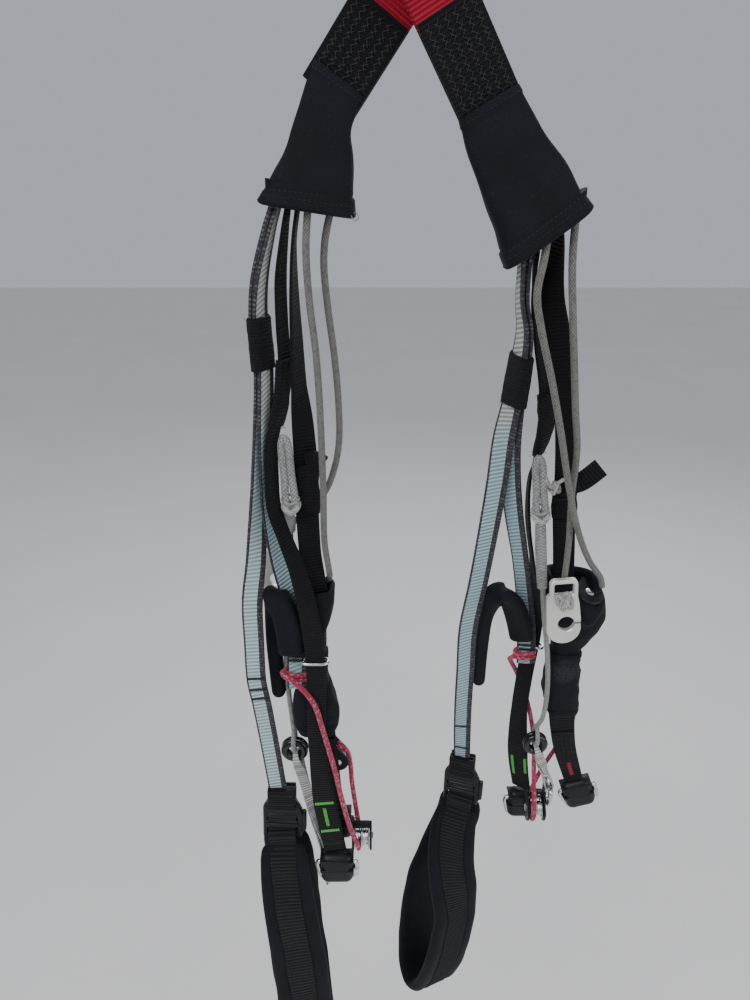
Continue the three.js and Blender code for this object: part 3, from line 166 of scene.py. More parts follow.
RIGHT = {
    "front": 1,
    "loop_base": (15.5, -7.3, -31.5),
    "loop_tilt": -29.6,
    "trunk": [(15.7, -7.3, -31.9, 90), (35.2, -7.3, -66.2, 90)],
    "sleeve": [
        (23.6, -73.5, 47.6, -60, 5, -7.3), (28.5, -89, 56, -72, 6, -8), (37, -109, 68, -87.5, 8, -9.5),
        (43, -124, 75.5, -99, 10, -11), (47, -133, 83, -107.5, 11.5, -11),
    ],
    "handle_strap": [
        (54.5, -10.5, -130, 0), (55.5, -8, -149, -5), (58.5, -5, -163.5, -15), (58.5, -3.5, -176, -25),
        (57, 0, -201, -40), (55, 5, -223, -65), (54.4, 10, -247.5, -80), (52.4, 16, -281, -88),
        (49.7, 22.5, -318, -90), (46, 29, -357.5, -90), (46.6, 34, -392, -90), (47.4, 39.5, -429.5, -88),
        (50.2, 49.8, -480, -72),
    ],
    "c_strap": [
        (57.5, -10.5, -128, 0), (58, -7.5, -149, -5), (60.9, -4, -163.5, -15), (60.8, -2.4, -176, -25),
        (59.3, 1.6, -201, -38), (59.5, 7, -224, -52), (61.5, 12, -242.5, -58), (66, 17, -269, -55),
        (74, 23, -304.5, -45), (80, 28.5, -335, -50), (84, 33, -360, -75), (86.5, 36, -388, -80),
    ],
    "keeper": [(59.6, -3.2, -175.5, -25), (58.1, 0.8, -202, -39)],
    "b_strap": [
        (60.8, -10.5, -125, 0), (62.5, -5, -149, 15), (68.5, 0, -171, 35), (75, 5.5, -195, 45),
        (78, 10, -217.5, 50), (76, 13, -233.5, 30), (73.5, 16, -249.5, 8), (75.5, 20, -276.5, 0),
        (81.5, 25, -305.5, 0), (88, 31, -336, -30), (90, 40, -369, -70), (88.5, 44, -404.5, -80),
        (88, 47, -437.5, -75), (91.5, 51, -483, -60), (97, 54.2, -514.1, -50),
    ],
    "b_wrap": (0.27, 0.40),
    "a_strap": [
        (71, -9, -118, 0), (70.5, -6.5, -144, -50), (75.5, -3.5, -163.5, -65), (82, -0.5, -189, -65),
        (88, 4.5, -217, -65), (91.5, 9, -241.5, -75), (94, 14, -267.5, -80), (98, 19, -295.5, -85),
        (100.8, 22.8, -316.6, -88),
    ],
    "a_wrap": (0.70, 0.80),
    "tab": [(93, 11, -251.5), (101, 11, -249), (110.8, 11, -240.6)],
    "pulley_cord": [
        (64.2, -16.8, -118), (63, -18.6, -129), (61.2, -18.6, -145), (65, -16.5, -161), (73, -13.5, -186),
        (81, -9.5, -213), (90, -4.5, -246), (100, 1.5, -276), (110.5, 9, -297.5), (120.4, 15, -312),
        (123, 17.4, -319),
    ],
    "hook_cord": [
        (77, -12, -108), (77, -13.5, -130), (79.5, -14, -153), (83.5, -11.5, -177.5), (88, -7.5, -203.5),
        (92.5, -2.5, -225.5), (94.5, 4, -255.5), (96.5, 6, -283.5), (97, 7.7, -308),
    ],
    "soft_loop": {"place": (77, 5, -251), "turn": (6, -8), "half": 19},
    "splice": [(79.5, 7, -270), (82.5, 11, -292), (86.4, 14.5, -318)],
    "bridge_cord": [
        (86.4, 14.5, -316), (90, 16, -340), (95.5, 19.5, -370), (99, 23, -400), (99.8, 28, -425),
        (99.8, 39.4, -443.5),
    ],
    "ring": (99.7, 40, -459),
    "ring_loop_tilt": -19,
    "ring_loop_length": 41,
    "ring_link": (113.2, 40, -498),
    "c_handle": [
        (81.3, 30.5, -366, -72), (77.9, 28.1, -353, -64), (73.6, 23.8, -340, -58),
        (69.6, 20.6, -331, -50), (64.8, 19.6, -326, -40), (60.6, 22.6, -328.4, -28),
        (58.2, 28, -338, -14), (56.9, 33.4, -352, -4), (56.5, 38, -378, 0), (56.8, 42, -407.5, 0),
    ],
    "pouch": [
        (90.5, -313, 121, -317, 10.5, 23), (90.5, -323, 127, -329, 11, 24.5),
        (92.5, -338, 129.5, -344, 11, 26), (96, -353, 126, -358, 9.5, 28.5),
        (100, -368, 119.5, -371, 7, 31), (101.4, -377.5, 119.2, -377.5, 6.6, 32),
    ],
    "pouch_pulley": ((115, 19, -328), (-70, 12, 0)),
    "cover": [
        (101, -378, 119.5, -378, 7, 32), (99, -390.5, 121, -390.5, 8, 34), (99, -406, 123, -408, 8.5, 36),
        (102, -419.5, 125, -421, 8.5, 38), (106, -429.5, 124.5, -427.5, 7.5, 38.5),
    ],
    "a_tail": [(115.2, 38.4, -429.3, -86), (121.3, 43, -463, -86), (133, 47.5, -500, -86)],
    "a_end": (136.4, 48.5, -508),
    "a_end_tilt": -18,
    "b_end": (98.8, 55, -524.5),
    "hook": ((95.5, 3, -309), (0, -5, 0)),
    "strap_ring": ((90.2, 41, -377), (0, 0, -20)),
    "buckle": ((51, 50, -521), (0, 0, -18)),
    "handle_turn": (0, 6, -18),
    "handle_twist": 44,
    "twin_pulley": ((104, 38, -517), (0, 12, 90)),
    "small_pulley": ((120.5, 53, -424), (0, 12, 0)),
    "pink_cord": [
        (80.5, 31.5, -378), (76.6, 36, -384), (78, 45, -392), (84, 50, -405), (92, 51.5, -425),
        (97.5, 50, -445), (101, 48, -465), (101.7, 42, -487), (101.7, 33, -506), (101.7, 29.6, -517),
        (101.7, 32.1, -522.9), (101.7, 38, -525.4), (101.7, 43.9, -522.9), (101.7, 46.4, -517),
        (103.8, 47.8, -507), (110, 51.5, -494), (118, 53.5, -478), (126.5, 53, -460), (129, 53, -440),
        (128.6, 53, -426), (126.3, 53, -418.2), (120.5, 53, -415.7),
    ],
}

SIDES = {"left": LEFT, "right": RIGHT}


# Settings

def length_setting(label, note, size):
    return FloatProperty(name=label, description=note, default=size, unit="LENGTH", precision=5)


def colour_setting(label, note, colour):
    return FloatVectorProperty(name=label, description=note, default=colour, subtype="COLOR", size=3,
                               min=0, max=1)


class WebbingSettings(bpy.types.PropertyGroup):
    """Sizes and colours of the straps."""

    tape_width: length_setting("Tape width", "Width of the narrow tapes", 12 * MM)
    tape_thick: length_setting("Tape thickness", "Thickness of the narrow tapes", 1.6 * MM)
    trunk_width: length_setting("Trunk width", "Width of the doubled webbing at the top", 28 * MM)
    trunk_thick: length_setting("Trunk thickness", "Thickness of its two layers", 7 * MM)
    tape_colour: colour_setting("Tape", "Middle of the control-handle tape", (0.36, 0.52, 0.55))
    lower_colour: colour_setting("Worn tape", "Middle of the tape near its worn end", (0.50, 0.64, 0.65))
    edge_colour: colour_setting("Tape edge", "Selvage of the tape", (0.040, 0.037, 0.047))
    black_colour: colour_setting("Black webbing", "Load straps and trunk", (0.0045, 0.0045, 0.0055))
    red_colour: colour_setting("Red webbing", "Carabiner loops", (0.42, 0.006, 0.028))


class CoverSettings(bpy.types.PropertyGroup):
    """The neoprene covers and padded bands."""

    colour: colour_setting("Neoprene", "Knit face of the neoprene", (0.0026, 0.0031, 0.0058))
    worn_colour: colour_setting("Worn neoprene", "Fluff where the face has rubbed", (0.05, 0.052, 0.06))
    crease: length_setting("Crease", "Depth of the soft folds", 0.5 * MM)


class CordSettings(bpy.types.PropertyGroup):
    """Cords of the speed system and the rear handle."""

    speed_radius: length_setting("Speed cord radius", "Radius of the grey cords", 1.8 * MM)
    bridge_radius: length_setting("Bridge cord radius", "Radius of the cord to the ring", 1.6 * MM)
    pink_radius: length_setting("Pink cord radius", "Radius of the pink cord", 1.6 * MM)
    grey_colour: colour_setting("Grey cord", "Speed cords", (0.21, 0.205, 0.185))
    silver_colour: colour_setting("Silver cord", "Soft loop and bridge cord", (0.36, 0.36, 0.35))
    pink_colour: colour_setting("Pink cord", "Rear handle cord", (0.50, 0.018, 0.075))


class HardwareSettings(bpy.types.PropertyGroup):
    """Metal and plastic pieces."""

    steel_colour: colour_setting("Steel", "Quick links, rings and sheaves", (0.72, 0.73, 0.74))
    hook_colour: colour_setting("Hook", "Speed hooks", (0.80, 0.78, 0.74))
    plastic_colour: colour_setting("Plastic", "Buckles and pulley bodies", (0.010, 0.0105, 0.012))
    ring_colour: colour_setting("Ring", "Low-friction rings", (0.006, 0.006, 0.007))
    sheave_colour: colour_setting("Sheave", "Sheaves of the pouch pulleys", (0.42, 0.50, 0.56))


class StageSettings(bpy.types.PropertyGroup):
    """Floor, lights and camera."""

    floor_height: length_setting("Floor height", "Height of the floor below the hang point", -1.25)
    floor_colour: colour_setting("Floor", "Colour of the floor", (0.82, 0.81, 0.79))
    light_power: FloatProperty(name="Light power", description="Power of the main light", default=34,
                               unit="POWER")
    lens: FloatProperty(name="Lens", description="Focal length in millimetres", default=26)
    pitch: FloatProperty(name="Pitch", description="How far the camera looks down",
                         default=math.radians(23.4), subtype="ANGLE")


# Lines and frames

def scaled(row):
    return Vector(row[:3]) * MM


def put(matrix, rows):
    """Places rows of (x, y, z) in millimetres."""
    return [matrix @ (Vector(row) * MM) for row in rows]


def shifted(matrix, x, y, z):
    return matrix @ Matrix.Translation(Vector((x, y, z)) * MM)


def mirrored(rows):
    """The other half of a symmetrical line, on from its end."""
    return [(-a, b) for a, b in reversed(rows)]


def clamp(value):
    return min(max(value, 0), 1)


def eased(value):
    """0 to 1 with a gentle start and end."""
    share = clamp(value)
    return share * share * (3 - 2 * share)


def rounded(value):
    """0 to 1 up a quarter circle."""
    return math.sqrt(1 - (1 - clamp(value)) ** 2)


def spline_point(points, place, closed):
    """The point of a centripetal line through the points, at a place counted in points."""
    count = len(points)
    first = min(int(place), count - 1 if closed else count - 2)
    part = place - first

    def at(index):
        if closed:
            return points[index % count]
        if index < 0:
            return points[0] * 2 - points[1]
        if index >= count:
            return points[-1] * 2 - points[-2]
        return points[index]

    p0, p1, p2, p3 = (at(first + step) for step in (-1, 0, 1, 2))
    middle = max((p2 - p1).length ** 0.5, 1e-5)
    before = (p1 - p0).length ** 0.5 or middle
    after = (p3 - p2).length ** 0.5 or middle
    start = (p1 - p0) / before - (p2 - p0) / (before + middle) + (p2 - p1) / middle
    end = (p2 - p1) / middle - (p3 - p1) / (middle + after) + (p3 - p2) / after
    start *= middle
    end *= middle
    return (p1 + start * part + (p2 * 3 - p1 * 3 - start * 2 - end) * part ** 2
            + (p1 * 2 - p2 * 2 + start + end) * part ** 3)


def trace(points, spacing, closed=False):
    """Evenly spaced points on the smooth line, with each one's place in rows and run from the start."""
    spans = len(points) if closed else len(points) - 1
    fine = 16 * spans
    dense = [spline_point(points, spans * k / fine, closed) for k in range(fine + 1)]
    runs = [0.0]
    for k in range(fine):
        runs.append(runs[-1] + (dense[k + 1] - dense[k]).length)
    count = max(2, round(runs[-1] / spacing))
    made = []
    for k in range(count if closed else count + 1):
        run = runs[-1] * k / count
        spot = min(max(bisect.bisect_right(runs, run) - 1, 0), fine - 1)
        part = (run - runs[spot]) / (runs[spot + 1] - runs[spot])
        made.append((dense[spot].lerp(dense[spot + 1], part), (spot + part) * spans / fine, run))
    return made, runs[-1]


def tangents(points, closed):
    last = len(points) - 1
    made = []
    for k in range(last + 1):
        ahead = points[(k + 1) % (last + 1)] if closed else points[min(k + 1, last)]
        behind = points[k - 1] if closed else points[max(k - 1, 0)]
        made.append((ahead - behind).normalized())
    return made


class Ribbon:
    """A strap's middle line with its width and thickness directions."""

    def __init__(self, rows, spacing=1.2 * MM, closed=False, points=None, across=None):
        made, self.length = trace(points or [scaled(row) for row in rows], spacing, closed)
        self.closed = closed
        self.points, self.places, self.runs = (list(column) for column in zip(*made))
        self.along = tangents(self.points, closed)
        self.across = []
        self.through = []
        for tangent, place in zip(self.along, self.places):
            wide = across or self.twisted(rows, place)
            wide = (wide - tangent * wide.dot(tangent)).normalized()
            self.across.append(wide)
            self.through.append(tangent.cross(wide))

    def twisted(self, rows, place):
        row = min(int(place), len(rows) - 2)
        low, high = rows[row][3], rows[row + 1][3]
        angle = math.radians(low + (high - low) * (place - row))
        return Vector((math.sin(angle), math.cos(angle), 0))

    def share(self, index):
        return self.runs[index] / self.length

    def outline(self, index, section):
        """A section's points, set on the ribbon."""
        point, wide, deep = self.points[index], self.across[index], self.through[index]
        return [point + wide * a + deep * t for a, t in section]

    def index_at(self, run):
        return min(bisect.bisect_left(self.runs, run), len(self.runs) - 1)

    def spot(self, run, wide=0.0, out=0.0):
        """A matrix on the ribbon: X across, Y through, Z along."""
        index = self.index_at(run)
        place = self.points[index] + self.across[index] * wide + self.through[index] * out
        turn = Matrix((self.across[index], self.through[index], self.along[index])).transposed()
        return Matrix.Translation(place) @ turn.to_4x4()


def tape_section(half_width, half_thick):
    """A tape's outline: a thicker woven edge on each side of a slightly hollow middle."""
    stations = [(-0.97, 0.8), (-0.88, 1), (-0.62, 0.9), (0, 0.86), (0.62, 0.9), (0.88, 1), (0.97, 0.8)]
    near = [(a * half_width, -t * half_thick) for a, t in stations]
    far = [(a * half_width, t * half_thick) for a, t in reversed(stations)]
    return [(-half_width, 0), *near, (half_width, 0), *far]


def grooved_section(outward):
    """A control handle's outline: raised margins on its outer side with a flat groove between them."""
    outer = [(-0.98, 0.42), (-0.9, 0.8), (-0.78, 0.98), (-0.66, 1), (-0.55, 0.93), (-0.5, 0.74),
             (-0.25, 0.7)]
    inner = [(0.98, -0.42), (0.86, -0.82), (0.6, -0.97), (0.2, -1)]
    whole = [(-1, 0), *outer, *mirrored(outer), (1, 0), *inner, *mirrored(inner)]
    return [(a, t * outward) for a, t in whole]


def plump_section(sides, power):
    """A rounded outline, one unit to each side; a lower power squares it more."""
    made = []
    for k in range(sides):
        angle = 2 * math.pi * k / sides
        spot = math.cos(angle), math.sin(angle)
        made.append([math.copysign(abs(part) ** power, part) for part in spot])
    return made


def round_section(radius, sides):
    turn = 2 * math.pi / sides
    return [(radius * math.cos(turn * k), radius * math.sin(turn * k)) for k in range(sides)]


# Meshes

def loop_edges(verts, edge_at):
    """The edges that join corners in turn and close the loop."""
    return [edge_at(pair) for pair in zip(verts, verts[1:] + verts[:1])]


def only(kind, items):
    return [item for item in items if isinstance(item, kind)]


def named_layer(store, name):
    """The data layer of that name, made at its first use."""
    return store.get(name) or store.new(name)


def sweep(bm, rings, marks, runs, closed=False, wrap=0.0):
    """Extrudes the first ring of points through the others and lays the weave's UV map.

    marks are the ring's values across, runs the rings' values along; wrap is the length of a
    mark's full turn on a round cord."""
    across = named_layer(bm.verts.layers.float, "across")
    along = named_layer(bm.verts.layers.float, "along")
    first = [bm.verts.new(point) for point in rings[0]]
    for vert, mark in zip(first, marks):
        vert[across] = mark
        vert[along] = runs[0]
    made = [first]
    edges = loop_edges(first, bm.edges.new)
    skin = []
    for ring, run in zip(rings[1:], runs[1:]):
        grown = bmesh.ops.extrude_edge_only(bm, edges=edges)["geom"]
        verts = only(bmesh.types.BMVert, grown)
        skin += only(bmesh.types.BMFace, grown)
        below = {vert: None for vert in verts}
        for vert in verts:
            for edge in vert.link_edges:
                other = edge.other_vert(vert)
                if other not in below:
                    below[vert] = other
        order = {old: k for k, old in enumerate(made[-1])}
        verts.sort(key=lambda vert: order[below[vert]])
        for vert, point, mark in zip(verts, ring, marks):
            vert.co = point
            vert[across] = mark
            vert[along] = run
        made.append(verts)
        edges = loop_edges(verts, bm.edges.get)
    if closed:
        skin += bmesh.ops.bridge_loops(bm, edges=loop_edges(first, bm.edges.get) + edges)["faces"]
    else:
        skin.append(bmesh.ops.contextual_create(bm, geom=made[0])["faces"][0])
        skin.append(bmesh.ops.contextual_create(bm, geom=made[-1])["faces"][0])
    lay_weave(skin, named_layer(bm.loops.layers.uv, "weave"), across, along, wrap,
              runs[-1] + runs[1] - runs[0] if closed else 0.0)


def lay_weave(faces, weave, across, along, wrap, period):
    for face in faces:
        marks = [loop.vert[across] for loop in face.loops]
        runs = [loop.vert[along] for loop in face.loops]
        split = wrap and max(marks) - min(marks) > wrap / 2
        round_end = period and max(runs) - min(runs) > period / 2
        for loop, mark, run in zip(face.loops, marks, runs):
            mark += wrap if split and mark < wrap / 2 else 0.0
            run += period if round_end and run < period / 2 else 0.0
            loop[weave].uv = (mark, run)


def finish_piece(bm, side, part, look="Black thread", node="", body=FIXED):
    """Turns a bmesh into a side's piece that rides on its body, with its finish on it."""
    name = f"{side}_{part}"
    bmesh.ops.recalc_face_normals(bm, faces=bm.faces[:])
    mesh = bpy.data.meshes.new(name)
    bm.to_mesh(mesh)
    bm.free()
    mesh.shade_smooth()
    mesh.set_sharp_from_angle(angle=math.radians(SHARP_ANGLES.get(look, SHARP_ANGLE)))
    mesh.materials.append(finish(look))
    piece = bpy.data.objects.new(name, mesh)
    bpy.context.scene.collection.objects.link(piece)
    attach(piece, body)
    if node:
        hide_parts(f"{side}_{node}")
    return piece


def add_ribbon(bm, ribbon, section_at, turned=1):
    """Sweeps section_at(share of the length) along a ribbon. A turned of -1 mirrors its map."""
    rings = [ribbon.outline(k, section_at(ribbon.share(k))) for k in range(len(ribbon.points))]
    marks = [a * turned for a, t in section_at(0.5)]
    sweep(bm, rings, marks, ribbon.runs, ribbon.closed)


def add_tape(bm, ribbon, half_width, half_thick, shift=0.0, turned=1):
    """Sweeps a plain tape along a ribbon, moved out by the shift."""
    section = [(a, t + shift) for a, t in tape_section(half_width, half_thick)]
    add_ribbon(bm, ribbon, lambda share: section, turned)


def add_tube(bm, rows, radius, sides=12, spacing=0.9 * MM, closed=False, points=None, radius_at=None):
    """A round cord. Its section is carried along the line without twisting."""
    made, length = trace(points or [scaled(row) for row in rows], spacing, closed)
    places = [point for point, place, run in made]
    last = len(places) - 1
    along = tangents(places, closed)
    side = along[0].orthogonal().normalized()
    sidewise = [side]
    for before, after in zip(along, along[1:]):
        side = before.rotation_difference(after) @ side
        sidewise.append((side - after * side.dot(after)).normalized())
    slip = 0.0
    if closed:
        carried = along[-1].rotation_difference(along[0]) @ sidewise[-1]
        slip = math.atan2(along[0].dot(sidewise[0].cross(carried)), sidewise[0].dot(carried))
    rings = []
    for k, place in enumerate(places):
        turned = Matrix.Rotation(-slip * k / (last + 1), 3, along[k]) @ sidewise[k]
        other = along[k].cross(turned)
        here = radius * (radius_at(k / last) if radius_at else 1)
        rings.append([place + turned * a + other * b for a, b in round_section(here, sides)])
    marks = [k / sides for k in range(sides)]
    sweep(bm, rings, marks, [run for point, place, run in made], closed, wrap=1.0)


def add_spun(bm, profile, matrix, steps=40):
    """Spins a closed profile of (radius, depth) in millimetres about the local Y axis."""
    before = set(bm.verts)
    verts = [bm.verts.new((r * MM, d * MM, 0)) for r, d in profile]
    edges = loop_edges(verts, bm.edges.new)
    bmesh.ops.spin(bm, geom=verts + edges, cent=(0, 0, 0), axis=AXIS_Y, angle=2 * math.pi, steps=steps,
                   use_merge=True)
    bmesh.ops.transform(bm, matrix=matrix, verts=[vert for vert in bm.verts if vert not in before])


def arc(x, z, radius, start, end, steps):
    """Points of an arc in X and Z, from start to end degrees."""
    made = []
    for k in range(steps + 1):
        angle = math.radians(start + (end - start) * k / steps)
        made.append((x + radius * math.cos(angle), z + radius * math.sin(angle)))
    return made


def add_plate(bm, outlines, thick, chamfer, matrix):
    """A flat plate in X and Z with its edges broken; outlines are its rim and its holes."""
    edges = []
    for rows in outlines:
        verts = [bm.verts.new((x * MM, 0, z * MM)) for x, z in rows]
        edges += loop_edges(verts, bm.edges.new)
    filled = bmesh.ops.triangle_fill(bm, use_beauty=True, edges=edges, normal=AXIS_Y)["geom"]
    near = only(bmesh.types.BMFace, filled)
    body = (thick - 2 * chamfer) * MM
    grown = bmesh.ops.extrude_face_region(bm, geom=near)["geom"]
    far = only(bmesh.types.BMFace, grown)
    lifted = only(bmesh.types.BMVert, grown)
    bmesh.ops.translate(bm, vec=(0, body, 0), verts=lifted)
    faces = [*near, *far]
    for vert in lifted:
        faces += vert.link_faces
    faces = list(dict.fromkeys(faces))
    bmesh.ops.recalc_face_normals(bm, faces=faces)
    for cap in (near, far):
        grown = bmesh.ops.inset_region(bm, faces=cap, thickness=chamfer * MM, depth=chamfer * MM,
                                       use_even_offset=True)["faces"]
        faces += grown
    verts = list(dict.fromkeys(vert for face in faces for vert in face.verts))
    shift = Matrix.Translation((0, -body / 2, 0))
    bmesh.ops.transform(bm, matrix=matrix @ shift, verts=verts)


def placed(place, turn):
    """The matrix of a piece from its place in millimetres and its turn in degrees."""
    x, y, z = (math.radians(angle) for angle in turn)
    turned = Matrix.Rotation(z, 4, "Z") @ Matrix.Rotation(y, 4, "Y") @ Matrix.Rotation(x, 4, "X")
    return Matrix.Translation(scaled(place)) @ turned


def add_stitch(bm, matrix, length, radius, lean=0.0):
    """One thread stitch along the matrix's X axis, turned about Y by a lean in degrees."""
    turn = Matrix.Rotation(math.radians(lean), 4, "Y")
    shape = matrix @ turn @ Matrix.Diagonal((length / 2, radius, radius, 1))
    bmesh.ops.create_icosphere(bm, subdivisions=1, radius=1, matrix=shape)


def zigzag(bm, ribbon, start, end, half, out, rows, radius=0.25 * MM, step=1.1 * MM):
    """Rows of zigzag stitches side by side along a ribbon."""
    lane = 2 * half / rows
    for row in range(rows):
        middle = -half + lane * (row + 0.5)
        for k in range(int((end - start) / step)):
            spot = ribbon.spot(start + (k + 0.5) * step, middle, out)
            add_stitch(bm, spot, lane * 1.1, radius, 132 if k % 2 else 48)


def bartack(bm, ribbon, run, half, out, length=2.2 * MM, radius=0.25 * MM, step=0.55 * MM):
    """A dense bar of stitches across a ribbon."""
    for k in range(int(2 * half / step)):
        spot = ribbon.spot(run, -half + (k + 0.5) * step, out)
        add_stitch(bm, spot, length, radius, 104 if k % 2 else 76)


def long_tack(bm, ribbon, span, aside, out, wide, radius=0.32 * MM, step=0.6 * MM):
    """A dense bar of stitches that runs along a ribbon."""
    for k in range(int((span[1] - span[0]) / step)):
        spot = ribbon.spot(span[0] + k * step, aside, out)
        add_stitch(bm, spot, wide, radius, 14 if k % 2 else -14)


# Finishes

class Graph:
    """Adds nodes to one tree and links their sockets."""

    def __init__(self, tree):
        self.tree = tree

    def feed(self, socket, value):
        if isinstance(value, bpy.types.NodeSocket):
            self.tree.links.new(value, socket)
        elif socket.type == "RGBA" and len(value) == 3:
            socket.default_value = (*value, 1)
        else:
            socket.default_value = value

    def add(self, kind, sockets=None, **settings):
        node = self.tree.nodes.new(kind)
        for label, value in settings.items():
            setattr(node, label, value)
        for label, value in (sockets or {}).items():
            self.feed(node.inputs[label], value)
        return node

    def math(self, operation, *values):
        node = self.tree.nodes.new("ShaderNodeMath")
        node.operation = operation
        for socket, value in zip(node.inputs, values):
            self.feed(socket, value)
        return node.outputs[0]

    def times(self, one, two):
        return self.math("MULTIPLY", one, two)

    def wave(self, phase):
        """0 to 1 and back, once for each whole step of the phase."""
        sine = self.math("SINE", self.times(phase, 2 * math.pi))
        return self.math("MULTIPLY_ADD", sine, 0.5, 0.5)

    def step(self, value, low, high):
        node = self.add("ShaderNodeMapRange", {"Value": value, "From Min": low, "From Max": high},
                        interpolation_type="SMOOTHSTEP")
        return node.outputs["Result"]

    def blend(self, factor, low, high):
        node = self.tree.nodes.new("ShaderNodeMix")
        node.data_type = "RGBA"
        for socket, value in zip((node.inputs[0], node.inputs[6], node.inputs[7]), (factor, low, high)):
            self.feed(socket, value)
        return node.outputs[2]

    def noise(self, vector, scale, detail=2.0, rough=0.5):
        node = self.add("ShaderNodeTexNoise", {"Vector": vector, "Scale": scale, "Detail": detail,
                                               "Roughness": rough})
        return node.outputs["Fac"]

    def group(self, name, sockets):
        node = self.tree.nodes.new("ShaderNodeGroup")
        node.node_tree = bpy.data.node_groups.get(name) or GROUPS[name](name)
        for label, value in sockets.items():
            self.feed(node.inputs[label], value)
        return node.outputs

    def bump(self, shader, height, distance):
        node = self.add("ShaderNodeBump", {"Height": height, "Distance": distance, "Strength": 1.0})
        self.feed(shader.inputs["Normal"], node.outputs["Normal"])

    def colour(self, shader, value):
        self.feed(shader.inputs["Base Color"], value)

    def split(self, vector):
        return self.add("ShaderNodeSeparateXYZ", {"Vector": vector}).outputs

    def chance(self, across, along):
        """A random value for each whole cell."""
        corner = {"X": self.math("FLOOR", across), "Y": self.math("FLOOR", along)}
        cell = self.add("ShaderNodeCombineXYZ", corner)
        return self.add("ShaderNodeTexWhiteNoise", {"Vector": cell.outputs["Vector"]}).outputs["Value"]

    def grain(self, place, scale):
        return self.group("Fine grain", {"Place": place, "Scale": scale})

    def weave_map(self):
        return self.add("ShaderNodeUVMap", uv_map="weave").outputs["UV"]


def start_group(name, vector, numbers, outputs):
    """A group's tree with a vector and numbers that go in and numbers that come out."""
    tree = bpy.data.node_groups.new(name, "ShaderNodeTree")
    tree.interface.new_socket(name=vector, in_out="INPUT", socket_type="NodeSocketVector")
    for label in numbers:
        tree.interface.new_socket(name=label, in_out="INPUT", socket_type="NodeSocketFloat")
    for label in outputs:
        tree.interface.new_socket(name=label, in_out="OUTPUT", socket_type="NodeSocketFloat")
    graph = Graph(tree)
    return tree, graph, graph.add("NodeGroupInput").outputs, graph.add("NodeGroupOutput").inputs


def weave_group(name):
    """Twilled middle and ribbed edges of a tape, from its map of metres across and along."""
    tree, graph, given, out = start_group(name, "Map", ("Low edge", "High edge", "Rib", "Yarn", "Slant"),
                                          ("Height", "Twill", "Edge", "Fleck"))
    split = graph.split(given["Map"])
    across, along = split["X"], split["Y"]
    beyond = graph.math("MAXIMUM", graph.math("SUBTRACT", across, given["High edge"]),
                        graph.math("SUBTRACT", given["Low edge"], across))
    edge = graph.step(beyond, -0.12 * MM, 0.12 * MM)
    lean = graph.times(across, given["Slant"])
    twill = graph.wave(graph.math("DIVIDE", graph.math("ADD", along, lean), given["Rib"]))
    yarn = graph.wave(graph.math("DIVIDE", across, given["Yarn"]))
    edge_row = graph.math("DIVIDE", along, graph.times(given["Rib"], 0.85))
    knots = graph.wave(edge_row)
    middle = graph.math("MULTIPLY_ADD", twill, 0.88, graph.times(yarn, 0.12))
    border = graph.math("MULTIPLY_ADD", knots, 0.55, graph.times(yarn, 0.45))
    rise = graph.math("SUBTRACT", border, middle)
    chance = graph.chance(graph.math("DIVIDE", across, given["Yarn"]), graph.times(edge_row, 2))
    graph.feed(out["Height"], graph.math("MULTIPLY_ADD", rise, edge, middle))
    graph.feed(out["Twill"], twill)
    graph.feed(out["Edge"], edge)
    graph.feed(out["Fleck"], graph.times(chance, knots))
    return tree


def braid_group(name):
    """Crossing strands of a braided cord, from its map of turns round and metres along."""
    tree, graph, given, out = start_group(name, "Map", ("Strands", "Pitch"), ("Height", "Fleck"))
    split = graph.split(given["Map"])
    turns = graph.times(split["X"], given["Strands"])
    run = graph.math("DIVIDE", split["Y"], given["Pitch"])
    one = graph.math("ADD", run, turns)
    two = graph.math("SUBTRACT", run, turns)
    first, second = (graph.math("ABSOLUTE", graph.math("SINE", graph.times(way, math.pi)))
                     for way in (one, two))
    graph.feed(out["Height"], graph.math("POWER", graph.times(first, second), 0.6))
    graph.feed(out["Fleck"], graph.chance(one, two))
    return tree


def grain_group(name):
    """Fine unevenness at two scales: one for relief and a slow one for shade."""
    tree, graph, given, out = start_group(name, "Place", ("Scale",), ("Height", "Shade"))
    fine = graph.noise(given["Place"], given["Scale"], 4.0, 0.6)
    slow = graph.noise(given["Place"], graph.times(given["Scale"], 0.08), 3.0)
    graph.feed(out["Height"], fine)
    graph.feed(out["Shade"], graph.step(slow, 0.3, 0.7))
    return tree


def wear_group(name):
    """Rubbed spots and dust, as a mask, where a broken noise is high."""
    tree, graph, given, out = start_group(name, "Place", ("Scale", "Amount"), ("Rubbed", "Dust"))
    broad = graph.noise(given["Place"], given["Scale"], 5.0, 0.7)
    high = graph.math("SUBTRACT", 0.72, graph.times(given["Amount"], 0.3))
    graph.feed(out["Rubbed"], graph.step(broad, high, graph.math("ADD", high, 0.08)))
    specks = graph.noise(given["Place"], graph.times(given["Scale"], 9), 2.0)
    graph.feed(out["Dust"], graph.step(specks, 0.66, 0.74))
    return tree


GROUPS = {
    "Webbing weave": weave_group,
    "Cord braid": braid_group,
    "Fine grain": grain_group,
    "Rubbed wear": wear_group,
}


def start_finish(name, sockets):
    material = bpy.data.materials.new(name)
    material.use_nodes = True
    graph = Graph(material.node_tree)
    shader = material.node_tree.nodes["Principled BSDF"]
    for label, value in sockets.items():
        shader.inputs[label].default_value = value
    place = graph.add("ShaderNodeTexCoord").outputs["Object"]
    return material, graph, shader, place


def dim(colour, share):
    return tuple(part * share for part in colour)


